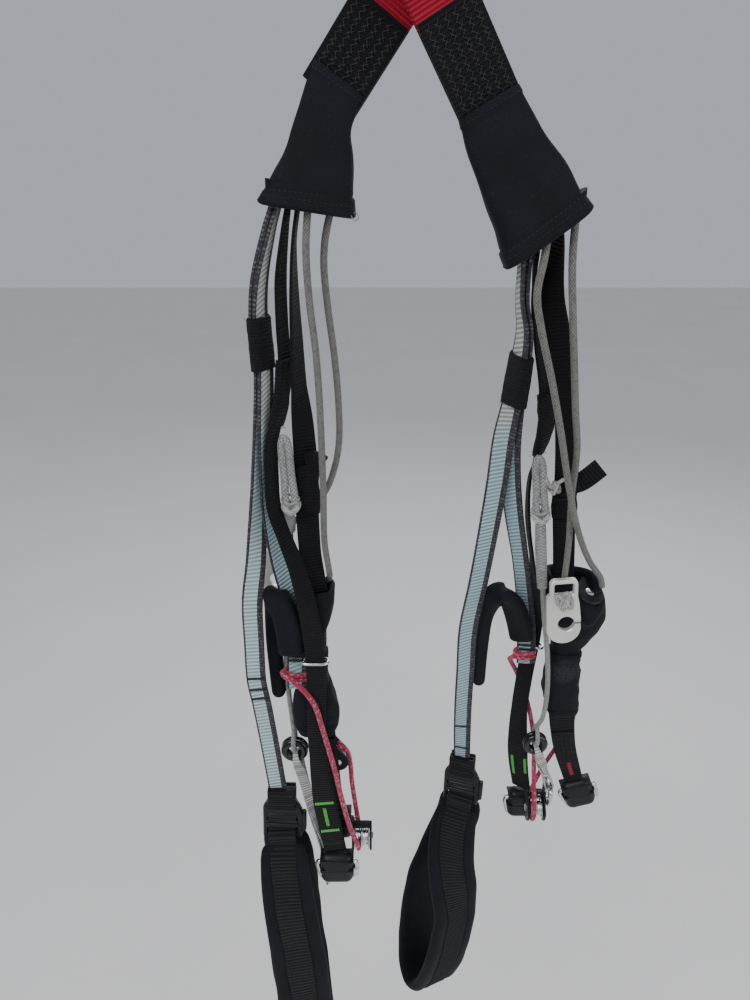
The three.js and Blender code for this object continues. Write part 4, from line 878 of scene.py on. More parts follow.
def woven(name, middle, edge, fleck, limits, rib, yarn, slant, relief=0.4, gap_shade=0.55, upper=None):
    """A woven tape or strap, of another colour higher up if upper gives one. The twill's colour carries
    painted shade in the gaps between its ribs and a painted highlight on the rib crests.
    """
    material, graph, shader, place = start_finish(name, {
        "Roughness": 0.78, "Specular IOR Level": 0.25, "Sheen Weight": 0.03, "Sheen Roughness": 0.4})
    cloth = graph.group("Webbing weave", {
        "Map": graph.weave_map(), "Low edge": limits[0], "High edge": limits[1], "Rib": rib, "Yarn": yarn,
        "Slant": slant})
    grain = graph.grain(place, 900.0)
    # Painted shade in the twill's gaps and a painted highlight on its crests, by the twill wave.
    lit = graph.blend(cloth["Twill"], dim(middle, gap_shade), dim(middle, 1.12))
    shaded = graph.blend(grain["Shade"], lit, dim(middle, 0.8))
    mixed = graph.blend(graph.times(grain["Shade"], 0.45), lit, shaded)
    if upper:
        height = graph.split(place)["Z"]
        # The pale upper colour gets the same painted shade in its gaps.
        pale = graph.blend(cloth["Twill"], dim(upper, gap_shade), upper)
        mixed = graph.blend(graph.step(height, -0.232, -0.2), mixed, pale)
    speck = graph.step(cloth["Fleck"], 0.42, 0.62)
    border = graph.blend(speck, edge, fleck)
    graph.colour(shader, graph.blend(cloth["Edge"], mixed, border))
    height = graph.math("MULTIPLY_ADD", grain["Height"], 0.35, cloth["Height"])
    graph.bump(shader, height, relief * MM)
    return material


def neoprene(name):
    """Knit-faced neoprene with lint, and fluff where the wear mark of a piece says so."""
    colours = bpy.context.scene.riser_covers
    base, worn = tuple(colours.colour), tuple(colours.worn_colour)
    material, graph, shader, place = start_finish(name, {
        "Roughness": 0.8, "Specular IOR Level": 0.25, "Sheen Weight": 0.03, "Sheen Roughness": 0.35})
    cells = graph.add("ShaderNodeTexVoronoi", {"Vector": place, "Scale": 1500.0}).outputs["Distance"]
    grain = graph.grain(place, 700.0)
    wear = graph.group("Rubbed wear", {"Place": place, "Scale": 160.0, "Amount": 0.25})
    mark = graph.add("ShaderNodeAttribute", attribute_name="wear").outputs["Fac"]
    patchy = graph.times(mark, graph.step(grain["Height"], 0.3, 0.62))
    shade = graph.blend(grain["Shade"], base, dim(base, 1.7))
    lint = graph.blend(graph.times(wear["Dust"], 0.35), shade, worn)
    graph.colour(shader, graph.blend(patchy, lint, worn))
    height = graph.math("MULTIPLY_ADD", grain["Height"], 0.8, graph.times(cells, 0.6))
    graph.bump(shader, height, 0.22 * MM)
    return material


def floor_finish(name):
    colour = tuple(bpy.context.scene.riser_stage.floor_colour)
    material, graph, shader, place = start_finish(name, {"Roughness": 0.9})
    grain = graph.grain(place, 30.0)
    graph.colour(shader, graph.blend(grain["Shade"], dim(colour, 0.97), colour))
    return material


def tape_finish(name):
    webbing = bpy.context.scene.riser_webbing
    middle = tuple(webbing.lower_colour if name == "Worn tape" else webbing.tape_colour)
    slant = 0.1 if name == "Worn tape" else 0.4
    half = webbing.tape_width / 2
    limits = (1.2 * MM - half, half - 3.3 * MM)
    # Its 0.45 sets how dark the painted shade in the twill's gaps is.
    return woven(name, middle, tuple(webbing.edge_colour), (0.12, 0.115, 0.125), limits, 2.5 * MM,
                 0.62 * MM, slant, gap_shade=0.45, upper=(0.56, 0.56, 0.54))


def strap_finish(name):
    webbing = bpy.context.scene.riser_webbing
    if name == "Ribbed webbing":
        colour = dim(tuple(webbing.black_colour), 3.4)
        # The 0.2 below gives its ribs deep painted shade in their gaps, under a painted highlight on their
        # crests.
        return woven(name, colour, colour, colour, NO_EDGES, RIB_PITCH, 0.7 * MM, 0.0, 0.9, 0.2)
    colour = tuple(webbing.red_colour if name == "Red webbing" else webbing.black_colour)
    # The 0.4 below paints shade in the ribs' gaps and a highlight on their crests.
    return woven(name, colour, dim(colour, 0.8), dim(colour, 1.8), NO_EDGES, 1.9 * MM, 0.8 * MM, 0.0, 0.6,
                 0.4)


def cord_finish(name):
    """A braided cord with strands of a second colour, and painted shade in the braid's valleys between
    strands.
    """
    cords = bpy.context.scene.riser_cords
    rows = {
        "Grey cord": (cords.grey_colour, (0.15, 0.145, 0.13), 8, 2.0 * MM),
        "Silver cord": (cords.silver_colour, (0.25, 0.25, 0.245), 6, 2.2 * MM),
        "Pale cord": ((0.55, 0.55, 0.52), (0.36, 0.36, 0.35), 6, 2.0 * MM),
        "Pink cord": (cords.pink_colour, (0.72, 0.2, 0.28), 7, 1.8 * MM),
    }
    colour, fleck, strands, pitch = rows[name]
    colour = tuple(colour)
    material, graph, shader, place = start_finish(name, {"Roughness": 0.72, "Sheen Weight": 0.15})
    cord = graph.group("Cord braid", {"Map": graph.weave_map(), "Strands": strands, "Pitch": pitch})
    grain = graph.grain(place, 1300.0)
    pick = graph.step(cord["Fleck"], 0.7, 0.75)
    strand = graph.blend(pick, colour, fleck)
    # Painted shade: the strands dimmed to 0.4 where they dip between crossings.
    deep = graph.blend(pick, dim(colour, 0.4), dim(fleck, 0.4))
    lit = graph.blend(graph.step(cord["Height"], 0.1, 0.75), deep, strand)
    soiled = graph.times(grain["Shade"], 0.3)
    graph.colour(shader, graph.blend(soiled, lit, dim(colour, 0.55)))
    graph.bump(shader, graph.math("MULTIPLY_ADD", grain["Height"], 0.25, cord["Height"]), 0.3 * MM)
    return material


def hardware_finish(name):
    """Metal or moulded plastic with handling marks."""
    hardware = bpy.context.scene.riser_hardware
    rows = {
        "Steel": (hardware.steel_colour, 0.17, 1.0, 220.0, 0.01, 0.0),
        "Hook alloy": (hardware.hook_colour, 0.42, 0.55, 400.0, 0.03, 0.0),
        "Black plastic": (hardware.plastic_colour, 0.38, 0.0, 900.0, 0.05, 0.0),
        "Ring gloss": (hardware.ring_colour, 0.05, 0.0, 200.0, 0.003, 0.5),
        "Pale sheave": (hardware.sheave_colour, 0.32, 0.15, 300.0, 0.02, 0.0),
    }
    colour, rough, metal, scale, relief, coat = rows[name]
    colour = tuple(colour)
    worn = (0.014, 0.014, 0.015) if name == "Black plastic" else dim(colour, 0.6)
    material, graph, shader, place = start_finish(name, {
        "Metallic": metal, "Coat Weight": coat, "Coat Roughness": 0.06,
        "Specular IOR Level": 0.5 if metal else 0.25})
    grain = graph.grain(place, scale)
    wear = graph.group("Rubbed wear", {"Place": place, "Scale": 260.0, "Amount": 0.2})
    marks = graph.times(wear["Rubbed"], 0.55)
    tone = graph.blend(grain["Shade"], dim(colour, 0.82), colour)
    graph.colour(shader, graph.blend(marks, tone, worn))
    smudge = graph.math("MULTIPLY_ADD", grain["Shade"], rough * 0.5, rough * 0.75)
    graph.feed(shader.inputs["Roughness"], graph.math("MULTIPLY_ADD", marks, 0.18, smudge))
    graph.bump(shader, grain["Height"], relief * MM)
    return material


def thread_finish(name):
    """Sewing thread with its twist."""
    colours = {
        "Black thread": (0.006, 0.006, 0.0075),
        "Grey thread": (0.20, 0.20, 0.21),
        "Red thread": (0.45, 0.02, 0.03),
        "Green thread": (0.12, 0.72, 0.10),
    }
    material, graph, shader, place = start_finish(name, {"Roughness": 0.6, "Sheen Weight": 0.05})
    grain = graph.grain(place, 2600.0)["Height"]
    graph.colour(shader, graph.blend(grain, dim(colours[name], 0.55), colours[name]))
    graph.bump(shader, grain, 0.08 * MM)
    return material


# Each finish with the function that makes it and its material slot
FINISHES = {
    "Teal tape": (tape_finish, "teal_webbing"),
    "Worn tape": (tape_finish, "teal_webbing"),
    "Black webbing": (strap_finish, "black_webbing"),
    "Ribbed webbing": (strap_finish, "black_webbing"),
    "Red webbing": (strap_finish, "red_webbing"),
    "Neoprene": (neoprene, "neoprene"),
    "Grey cord": (cord_finish, "grey_cord"),
    "Silver cord": (cord_finish, "grey_cord"),
    "Pale cord": (cord_finish, "pale_cord"),
    "Pink cord": (cord_finish, "pink_cord"),
    "Steel": (hardware_finish, "steel"),
    "Hook alloy": (hardware_finish, "hook_silver"),
    "Black plastic": (hardware_finish, "black_plastic"),
    "Ring gloss": (hardware_finish, "ring_black"),
    "Pale sheave": (hardware_finish, "pale_sheave"),
    "Black thread": (thread_finish, "black_webbing"),
    "Grey thread": (thread_finish, "pale_cord"),
    "Red thread": (thread_finish, "black_webbing"),
    "Green thread": (thread_finish, "black_webbing"),
    "Pale floor": (floor_finish, ""),
}
# Above this angle in degrees a piece's edges are sharp.
SHARP_ANGLE = 40
SHARP_ANGLES = {"Neoprene": 70, "Hook alloy": 32}


def finish(name):
    """The material of that name, made at its first use."""
    return bpy.data.materials.get(name) or FINISHES[name][0](name)


# Shapes that several pieces share

def between(rows, place):
    """The row of numbers at a place between the rows of a table, on a smooth line."""
    low = min(int(place), len(rows) - 2)
    part = place - low
    near = [rows[min(max(low + step, 0), len(rows) - 1)] for step in (-1, 0, 1, 2)]
    made = []
    for a, b, c, d in zip(*near):
        made.append(b + part * (c - a) / 2 + part ** 2 * (a - 2.5 * b + 2 * c - d / 2)
                    + part ** 3 * (1.5 * (b - c) + (d - a) / 2))
    return made


def oval(row, inset=0.0, lift=0.0):
    """A cover's ring in metres, set in from its row's sizes and raised."""
    left_x, left_z, right_x, right_z, depth, y = row
    left, right = Vector((left_x, y, left_z + lift)), Vector((right_x, y, right_z + lift))
    middle, half = (left + right) / 2, (right - left) / 2
    half *= 1 - inset / half.length
    deep = AXIS_Y * (depth - inset)
    return [(middle + half * a + deep * t) * MM for a, t in plump_section(64, 0.6)]


def creased(ring, size, amount):
    """Moves a ring's points by a slow noise, which folds the cloth softly."""
    return [point + noise.noise_vector(point / size) * amount for point in ring]


def level(rows, place, column):
    """A column's value at a place between the rows of a closed table."""
    low = min(int(place), len(rows) - 1)
    first, last = rows[low][column], rows[(low + 1) % len(rows)][column]
    return first + (last - first) * (place - low)


def ring_marks(ring):
    marks = [0.0]
    for before, after in zip(ring, ring[1:]):
        marks.append(marks[-1] + (after - before).length)
    return marks


def ring_runs(rings):
    runs = [0.0]
    for before, after in zip(rings, rings[1:]):
        runs.append(runs[-1] + max((after[0] - before[0]).length, 0.1 * MM))
    return runs


def add_shell(bm, rings, closed=False):
    """Skins rings of a cover. Its map runs in metres round and along."""
    sweep(bm, rings, ring_marks(rings[len(rings) // 2]), ring_runs(rings), closed)


def shell_rings(rows, lead, spans, first, swell, fold_size, fold_depth, tail=()):
    """A cover's rings. lead and tail are (inset, lift) rows of its turned edges, swell(share of the
    height) sets its wall out, and the wall's folds have a size and a depth."""
    rings = [oval(rows[0], inset, lift) for inset, lift in lead]
    for k in range(first, spans + 1):
        share = k / spans
        ring = oval(between(rows, share * (len(rows) - 1)), -swell(share))
        rings.append(creased(ring, fold_size * MM, fold_depth * math.sin(math.pi * share)))
    return rings + [oval(rows[-1], inset, lift) for inset, lift in tail]


def seam(bm, rows, share, out, step=2.2, radius=0.2):
    """Stitches round a cover, at a share of its height."""
    made, length = trace(oval(between(rows, share * (len(rows) - 1)), -out), step * MM, True)
    points = [point for point, place, run in made]
    for before, after in zip(points, points[1:] + points[:1]):
        turn = AXIS_X.rotation_difference(after - before).to_matrix().to_4x4()
        middle = Matrix.Translation((before + after) / 2)
        add_stitch(bm, middle @ turn, (after - before).length * STITCH_SHARE, radius * MM)


def from_sleeve(sizes, rows):
    """Starts a route inside the sleeve, above its first row."""
    left_x, left_z, right_x, right_z = sizes["sleeve"][-1][:4]
    first = rows[0]
    slope = (right_z - left_z) / (right_x - left_x)
    top = left_z + (first[0] - left_x) * slope + 9
    return [(first[0], first[1], top, *first[3:]), *rows]


def run_at(ribbon, height):
    """The run along a ribbon where it passes a height in millimetres."""
    heights = [abs(point.z - height * MM) for point in ribbon.points]
    return ribbon.runs[heights.index(min(heights))]


def moved(ribbon, matrix, twist=0.0, span=(0.0, -1.0)):
    """Turns a ribbon about its own upright axis by a twist that grows over a span, then places it."""
    for k, point in enumerate(ribbon.points):
        still = eased((point.z / MM - span[1]) / (span[0] - span[1]))
        turn = Matrix.Rotation(math.radians(twist) * (1 - still), 4, "Z")
        whole = matrix @ turn
        ribbon.points[k] = whole @ point
        for directions in (ribbon.across, ribbon.through, ribbon.along):
            directions[k] = whole.to_3x3() @ directions[k]
    return ribbon


def add_knot(bm, matrix, half, radius):
    """A tight three-looped knot of cord that fills half sizes in millimetres."""
    points = []
    for k in range(24):
        t = 2 * math.pi * k / 24
        x = math.sin(t) + 2 * math.sin(2 * t)
        y = math.cos(t) - 2 * math.cos(2 * t)
        z = -2.6 * math.sin(3 * t)
        points += put(matrix, [(x * half[0] / 3, y * half[1] / 3, z * half[2] / 3)])
    add_tube(bm, None, radius, 8, 0.5 * MM, True, points)


def soften(bm, verts, width, segments):
    """Rounds the edges that the corners share."""
    edges = list(dict.fromkeys(edge for vert in verts for edge in vert.link_edges))
    bmesh.ops.bevel(bm, geom=edges, offset=width * MM, segments=segments, profile=0.5, affect="EDGES",
                    material=-1, clamp_overlap=True)


def add_block(bm, size, matrix, bevel, segments=3):
    """A block of millimetres with rounded edges."""
    shape = matrix @ Matrix.Diagonal((*(part * MM for part in size), 1))
    soften(bm, bmesh.ops.create_cube(bm, size=1, matrix=shape)["verts"], bevel, segments)


def add_nut(bm, matrix, radius, length):
    """A hexagonal nut along the matrix's Z axis."""
    made = bmesh.ops.create_cone(bm, cap_ends=True, segments=6, radius1=radius * MM, radius2=radius * MM,
                                 depth=length * MM, matrix=matrix)["verts"]
    soften(bm, made, 0.35, 2)


# Pieces

class RISERS_OT_trunks(bpy.types.Operator):
    """Red carabiner loops on doubled black webbing with zigzag sewing"""

    bl_idname = "risers.trunks"
    bl_label = "Carabiner loops and trunks"

    def execute(self, context):
        webbing = context.scene.riser_webbing
        half = webbing.trunk_width / 2
        line = [(-1.9, -5), (-2.1, 0), (-2.7, 5), (-4.8, 12), (-5.6, 20), (-5.5, 27.2), (-3.7, 31.8),
                (0, 33.6)]
        line += mirrored(line[:-1])
        for side, sizes in SIDES.items():
            seat = placed(sizes["loop_base"], (0, sizes["loop_tilt"], 0))
            points = put(seat, [(0, y, z) for y, z in line])
            loop = Ribbon(None, 0.8 * MM, points=points, across=seat.to_3x3() @ AXIS_X)
            bm = bmesh.new()
            add_tape(bm, loop, half, 1.3 * MM)
            finish_piece(bm, side, "loop_band", "Red webbing", "carabiner_loop")
            first, last = (Vector(row[:3]) for row in sizes["trunk"])
            along = (last - first).normalized()
            trunk = Ribbon([(*(first + along * 0.3), 90), (*(last + along * 9), 90)])
            bm = bmesh.new()
            layer = webbing.trunk_thick / 4
            for shift in (-layer, layer):
                add_tape(bm, trunk, half, layer * 0.96, shift)
            finish_piece(bm, side, "trunk_webbing", "Black webbing", "trunk")
            bm = bmesh.new()
            for face in (-1, 1):
                out = face * webbing.trunk_thick / 2 * 0.97
                zigzag(bm, trunk, 2 * MM, trunk.length - 8 * MM, half * 0.88, out, 6, 0.3 * MM, 1.5 * MM)
            finish_piece(bm, side, "trunk_sewing")
        return {"FINISHED"}


class RISERS_OT_sleeves(bpy.types.Operator):
    """Neoprene sleeves over the fan of straps, with a turned hem"""

    bl_idname = "risers.sleeves"
    bl_label = "Neoprene sleeves"

    def execute(self, context):
        crease = context.scene.riser_covers.crease
        for side, sizes in SIDES.items():
            rows = sizes["sleeve"]
            lead = [(6, 0.6), (1.6, 0.9), (0.3, 0.5)]
            tail = [(-0.6, -0.9), (0.2, -1.6), (1.2, -1.9), (2.3, -1.6), (3, -0.7), (3.1, 3), (3.2, 9.5)]
            bm = bmesh.new()
            add_shell(bm, shell_rings(rows, lead, 44, 0, self.swell, 17, crease * 2.6, tail))
            finish_piece(bm, side, "sleeve_skin", "Neoprene", "sleeve")
            bm = bmesh.new()
            seam(bm, rows, 0.83, 0.35, 2.4, 0.24)
            seam(bm, rows, 0.9, 0.8, 2.4, 0.18)
            seam(bm, rows, 0.06, 0.6, radius=0.18)
            finish_piece(bm, side, "sleeve_sewing")
        self.thread_end()
        return {"FINISHED"}

    def swell(self, share):
        """The hem, the groove above it and the rolled top, set out in millimetres."""
        if share > 0.84:
            return 0.75
        if share > 0.8:
            return -0.35
        return 0.5 if share < 0.08 else 0.0

    def thread_end(self):
        """The loose loop of thread on the left sleeve's hem."""
        bm = bmesh.new()
        add_tube(bm, [(-24, -8, -111.5), (-22.2, -9.5, -113.8), (-20.6, -9, -113), (-21, -8.4, -110.8),
                      (-22.6, -8.4, -110.6)], 0.22 * MM, 6, 0.5 * MM)
        finish_piece(bm, "left", "sleeve_thread", "Grey thread")


class RISERS_OT_tapes(bpy.types.Operator):
    """Control-handle straps and C straps of narrow tape, with their keepers"""

    bl_idname = "risers.tapes"
    bl_label = "Narrow tapes"

    def execute(self, context):
        webbing = context.scene.riser_webbing
        half, thin = webbing.tape_width / 2, webbing.tape_thick / 2
        tacks = {
            ("left", "handle_strap"): (-371, -379.5, -387),
            ("left", "c_strap"): (-355, -358),
            ("right", "handle_strap"): (-446, -470),
            ("right", "c_strap"): (-372, -376),
        }
        for side, sizes in SIDES.items():
            for part in ("handle_strap", "c_strap"):
                ribbon = Ribbon(from_sleeve(sizes, sizes[part]))
                bm = bmesh.new()
                add_tape(bm, ribbon, half, thin, turned=-sizes["front"])
                worn = side == "left" and part == "handle_strap"
                finish_piece(bm, side, f"{part}_tape", "Worn tape" if worn else "Teal tape", part)
                bm = bmesh.new()
                for height in tacks[side, part]:
                    for face in (-1, 1):
                        run = run_at(ribbon, height)
                        bartack(bm, ribbon, run, half * 0.9, face * thin, 2.9 * MM, 0.4 * MM)
                finish_piece(bm, side, f"{part}_sewing")
            self.keeper(side, sizes)
        return {"FINISHED"}

    def keeper(self, side, sizes):
        """The elastic band round both tapes."""
        ribbon = Ribbon(sizes["keeper"])
        wall, half, deep = 1.0 * MM, 7.7 * MM, 3.8 * MM
        path = [(2.5, 1), (0.4, 1), (0, 0.5), (0.3, 0)]
        runs = [(run * MM, inset * wall) for run, inset in path]
        steps = 16
        for k in range(1, steps):
            runs.append((ribbon.length * k / steps, -0.12 * MM * math.sin(math.pi * k / steps)))
        runs += [(ribbon.length - run, inset) for run, inset in reversed(runs[:4])]
        rings = []
        for run, inset in runs:
            ring = ribbon.outline(ribbon.index_at(run), pill(half - inset, deep - inset, 28))
            rings.append(creased(ring, 2.2 * MM, 0.25 * MM))
        bm = bmesh.new()
        add_shell(bm, rings, closed=True)
        finish_piece(bm, side, "keeper_band", "Black webbing", "strap_keeper")
        bm = bmesh.new()
        draw = random.Random(11 if side == "left" else 12)
        for run in (0.5 * MM, ribbon.length - 0.5 * MM):
            add_fray(bm, ribbon.spot(run), half, deep, draw, 10)
        finish_piece(bm, side, "keeper_fray")


def pill(half_width, half_thick, sides):
    """A flat oval's points with round edges, in width and thickness."""
    flat = half_width - half_thick
    made = []
    for k in range(sides):
        angle = 2 * math.pi * k / sides
        made.append((math.copysign(flat, math.cos(angle)) * min(1, abs(math.cos(angle)) * 2.2)
                     + half_thick * math.cos(angle), half_thick * math.sin(angle)))
    return made


def add_fray(bm, spot, half, deep, draw, count):
    """Loose fibre ends round a band's edge."""
    for k in range(count):
        side = draw.choice((-1, 1))
        wide = draw.uniform(-0.75, 0.75) * half
        length = draw.uniform(0.8, 2) * MM
        lean = Vector((draw.uniform(-1, 1), side * draw.uniform(0.2, 0.9), draw.uniform(-1, 1)))
        lean.normalize()
        start = Vector((wide, side * deep * 0.95, 0))
        bend = start + lean * length * 0.5 + Vector((0, 0, draw.uniform(-0.4, 0.4) * MM))
        points = [spot @ point for point in (start, bend, start + lean * length)]
        add_tube(bm, None, 0.1 * MM, 4, 0.8 * MM, points=points)


class RISERS_OT_load_straps(bpy.types.Operator):
    """A and B straps of black webbing, with their wrapped joins and sewn ends"""

    bl_idname = "risers.load_straps"
    bl_label = "A and B straps"

    def execute(self, context):
        thin = context.scene.riser_webbing.tape_thick / 2
        for side, sizes in SIDES.items():
            b_line = Ribbon(from_sleeve(sizes, sizes["b_strap"]))

            def b_section(share):
                return tape_section((5.5 + 2 * clamp((share - 0.8) / 0.1)) * MM, thin)

            bm = bmesh.new()
            add_ribbon(bm, b_line, b_section)
            finish_piece(bm, side, "b_webbing", "Black webbing", "b_strap")
            self.wrap(side, "b", b_line, sizes["b_wrap"], 6.2)
            self.b_sewing(side, b_line, thin)
            a_line = Ribbon(from_sleeve(sizes, sizes["a_strap"]))
            bm = bmesh.new()
            add_tape(bm, a_line, 6.3 * MM, thin)
            finish_piece(bm, side, "a_webbing", "Black webbing", "a_strap")
            self.wrap(side, "a", a_line, sizes["a_wrap"], 7)
            self.tab(side, sizes)
        return {"FINISHED"}

    def wrap(self, side, letter, ribbon, span, half):
        """A fabric band round a strap, with an uneven edge and loose fibres."""
        last = ribbon.places[-1]
        runs = [run for run, place in zip(ribbon.runs, ribbon.places) if span[0] <= place / last <= span[1]]
        start, end = runs[0], runs[-1]
        rings = []
        steps = 26
        for k in range(-2, steps + 3):
            share = clamp(k / steps)
            inset = 1.1 if k in (-2, steps + 2) else 0.35 if k in (-1, steps + 1) else 0.0
            slack = 0.3 * math.sin(9 * share + (1.7 if letter == "a" else 0.4))
            section = pill((half - inset + slack) * MM, (2.3 - inset) * MM, 30)
            ring = ribbon.outline(ribbon.index_at(start + (end - start) * share), section)
            rings.append(creased(ring, 6 * MM, 0.45 * MM))
        bm = bmesh.new()
        add_shell(bm, rings)
        finish_piece(bm, side, f"{letter}_wrap", "Black webbing")
        bm = bmesh.new()
        draw = random.Random(21 + ord(letter))
        for run in (start, end):
            add_fray(bm, ribbon.spot(run), half * MM, 2.2 * MM, draw, 12)
        for run in (start + 6 * MM, start + 9 * MM):
            bartack(bm, ribbon, run, half * 0.8 * MM, -2.3 * MM, 1.6 * MM)
        finish_piece(bm, side, f"{letter}_wrap_sewing")

    def b_sewing(self, side, ribbon, thin):
        """Bright bartacks near the strap's lower end, across it and along it."""
        rows = {
            "left": [("across", 45, 45, 0, "Green thread"), ("across", 20, 20, 0, "Green thread"),
                     ("along", 40, 24, -0.8, "Green thread"), ("across", 8, 8, 0, "Black thread")],
            "right": [("along", 34, 19, -5.4, "Green thread"), ("along", 34, 14, 4.2, "Green thread")],
        }
        for colour in sorted({row[-1] for row in rows[side]}):
            bm = bmesh.new()
            for way, first, last, aside, name in rows[side]:
                for face in (-thin, thin) if name == colour else ():
                    if way == "across":
                        bartack(bm, ribbon, ribbon.length - first * MM, 6.3 * MM, face, 3.2 * MM, 0.35 * MM)
                    else:
                        span = (ribbon.length - first * MM, ribbon.length - last * MM)
                        long_tack(bm, ribbon, span, aside * MM, face, 2.6 * MM)
            label = colour.split()[0].lower()
            finish_piece(bm, side, f"b_{label}_sewing", colour)

    def tab(self, side, sizes):
        """The folded flap that stands out from the A strap's wrap."""
        half = 6 if side == "left" else 5.4
        ribbon = Ribbon(sizes["tab"], 0.8 * MM, across=AXIS_Z)
        bm = bmesh.new()
        for shift in (-0.85 * MM, 0.85 * MM):
            add_tape(bm, ribbon, half * MM, 0.8 * MM, shift)
        finish_piece(bm, side, "a_tab", "Black webbing")


class RISERS_OT_rear_handles(bpy.types.Operator):
    """Padded C handles that fold round the C straps"""

    bl_idname = "risers.rear_handles"
    bl_label = "C handles"

    def execute(self, context):
        for side, sizes in SIDES.items():
            rows = sizes["c_handle"]
            ribbon = Ribbon(rows, 0.9 * MM)

            def section(share):
                half = (7.7 - 2.1 * eased((share - 0.3) / 0.3)) * MM
                end = rounded(min(share, 1 - share) * ribbon.length / (4 * MM)) * 0.97 + 0.03
                return [(a * half * (0.72 + 0.28 * end), t * 4.5 * MM * (0.2 + 0.8 * end))
                        for a, t in plump_section(28, 0.72)]

            bm = bmesh.new()
            add_ribbon(bm, ribbon, section)
            piece = finish_piece(bm, side, "c_handle_pad", "Neoprene", "c_handle")
            bm = bmesh.new()
            for run in (4.2 * MM, 5.4 * MM):
                for face in (-1, 1):
                    bartack(bm, ribbon, run, 6.2 * MM, face * 3.6 * MM, 1.2 * MM, 0.2 * MM, 0.9 * MM)
            finish_piece(bm, side, "c_handle_sewing")
        return {"FINISHED"}


class RISERS_OT_speed_cords(bpy.types.Operator):
    """Cords of the speed system, the soft loop and the cord to the low-friction ring"""

    bl_idname = "risers.speed_cords"
    bl_label = "Speed system cords"

    def execute(self, context):
        cords = context.scene.riser_cords
        for side, sizes in SIDES.items():
            for part, node in (("pulley_cord", "speed_cord_pulley"), ("hook_cord", "speed_cord_hook")):
                bm = bmesh.new()
                add_tube(bm, from_sleeve(sizes, sizes[part]), cords.speed_radius, 14)
                finish_piece(bm, side, part, "Grey cord", node)
            self.soft_loop(side, sizes)
            bm = bmesh.new()
            add_tube(bm, sizes["splice"], 3.4 * MM, 16, 0.8 * MM,
                     radius_at=lambda share: 0.86 + 0.14 * math.sin(math.pi * share))
            add_tube(bm, sizes["bridge_cord"], cords.bridge_radius, 12)
            eye = [(0, 1.5), (5, 2.8), (6, 6.5), (3.5, 12), (0, 14.5), (-3.5, 12), (-6, 6.5), (-5, 2.8)]
            middle = Vector(sizes["ring"])
            points = [(middle + Vector((0, y, z))) * MM for y, z in eye]
            add_tube(bm, None, cords.bridge_radius * 0.94, 12, 0.8 * MM, True, points)
            finish_piece(bm, side, "bridge_line", "Silver cord", "bridge_cord")
        return {"FINISHED"}

    def soft_loop(self, side, sizes):
        """The braided silver loop that hangs in the B strap's eye, its parts pressed together."""
        loop = sizes["soft_loop"]
        half = loop["half"]
        seat = placed(loop["place"], (*loop["turn"], 0))
        line = [(-1.5, half - 3), (0, half), (1.5, half - 3), (1.9, 0), (2, 3 - half), (0, -half),
                (-2, 3 - half), (-1.9, 0)]
        bm = bmesh.new()
        add_tube(bm, None, 2.1 * MM, 14, 0.8 * MM, True, put(seat, [(x, 0, z) for x, z in line]))
        finish_piece(bm, side, "soft_loop", "Silver cord", "bridge_cord")
        bm = bmesh.new()
        crown = [(-3.4, -1.6, 1.5 - half), (0, -3.4, -half - 0.6), (3.4, -1.6, 1.5 - half),
                 (3.6, 2.4, 3 - half), (0, 3.4, 2.6 - half), (-3.6, 2.4, 3 - half)]
        add_tube(bm, None, 1.6 * MM, 12, 0.7 * MM, True, put(seat, crown))
        wrap = [(-4.6, 0.8, 6 - half), (0, -2.9, 4.2 - half), (4.6, 0.8, 6 - half), (0, 3.4, 7.4 - half)]
        add_tube(bm, None, 0.7 * MM, 10, 0.6 * MM, True, put(seat, wrap))
        if side == "right":
            add_knot(bm, shifted(seat, 8, 0.5, -1), (3.2, 2.6, 3), 0.95 * MM)
            tail = [(2.4, -0.6, 10), (4.2, -1.2, 4), (6.4, -0.2, 0.4), (10.5, 0.4, 2.4), (13.4, 0.6, 3.8)]
            add_tube(bm, None, 1.1 * MM, 10, 0.6 * MM, points=put(seat, tail))
        finish_piece(bm, side, "soft_loop_tie", "Pale cord")


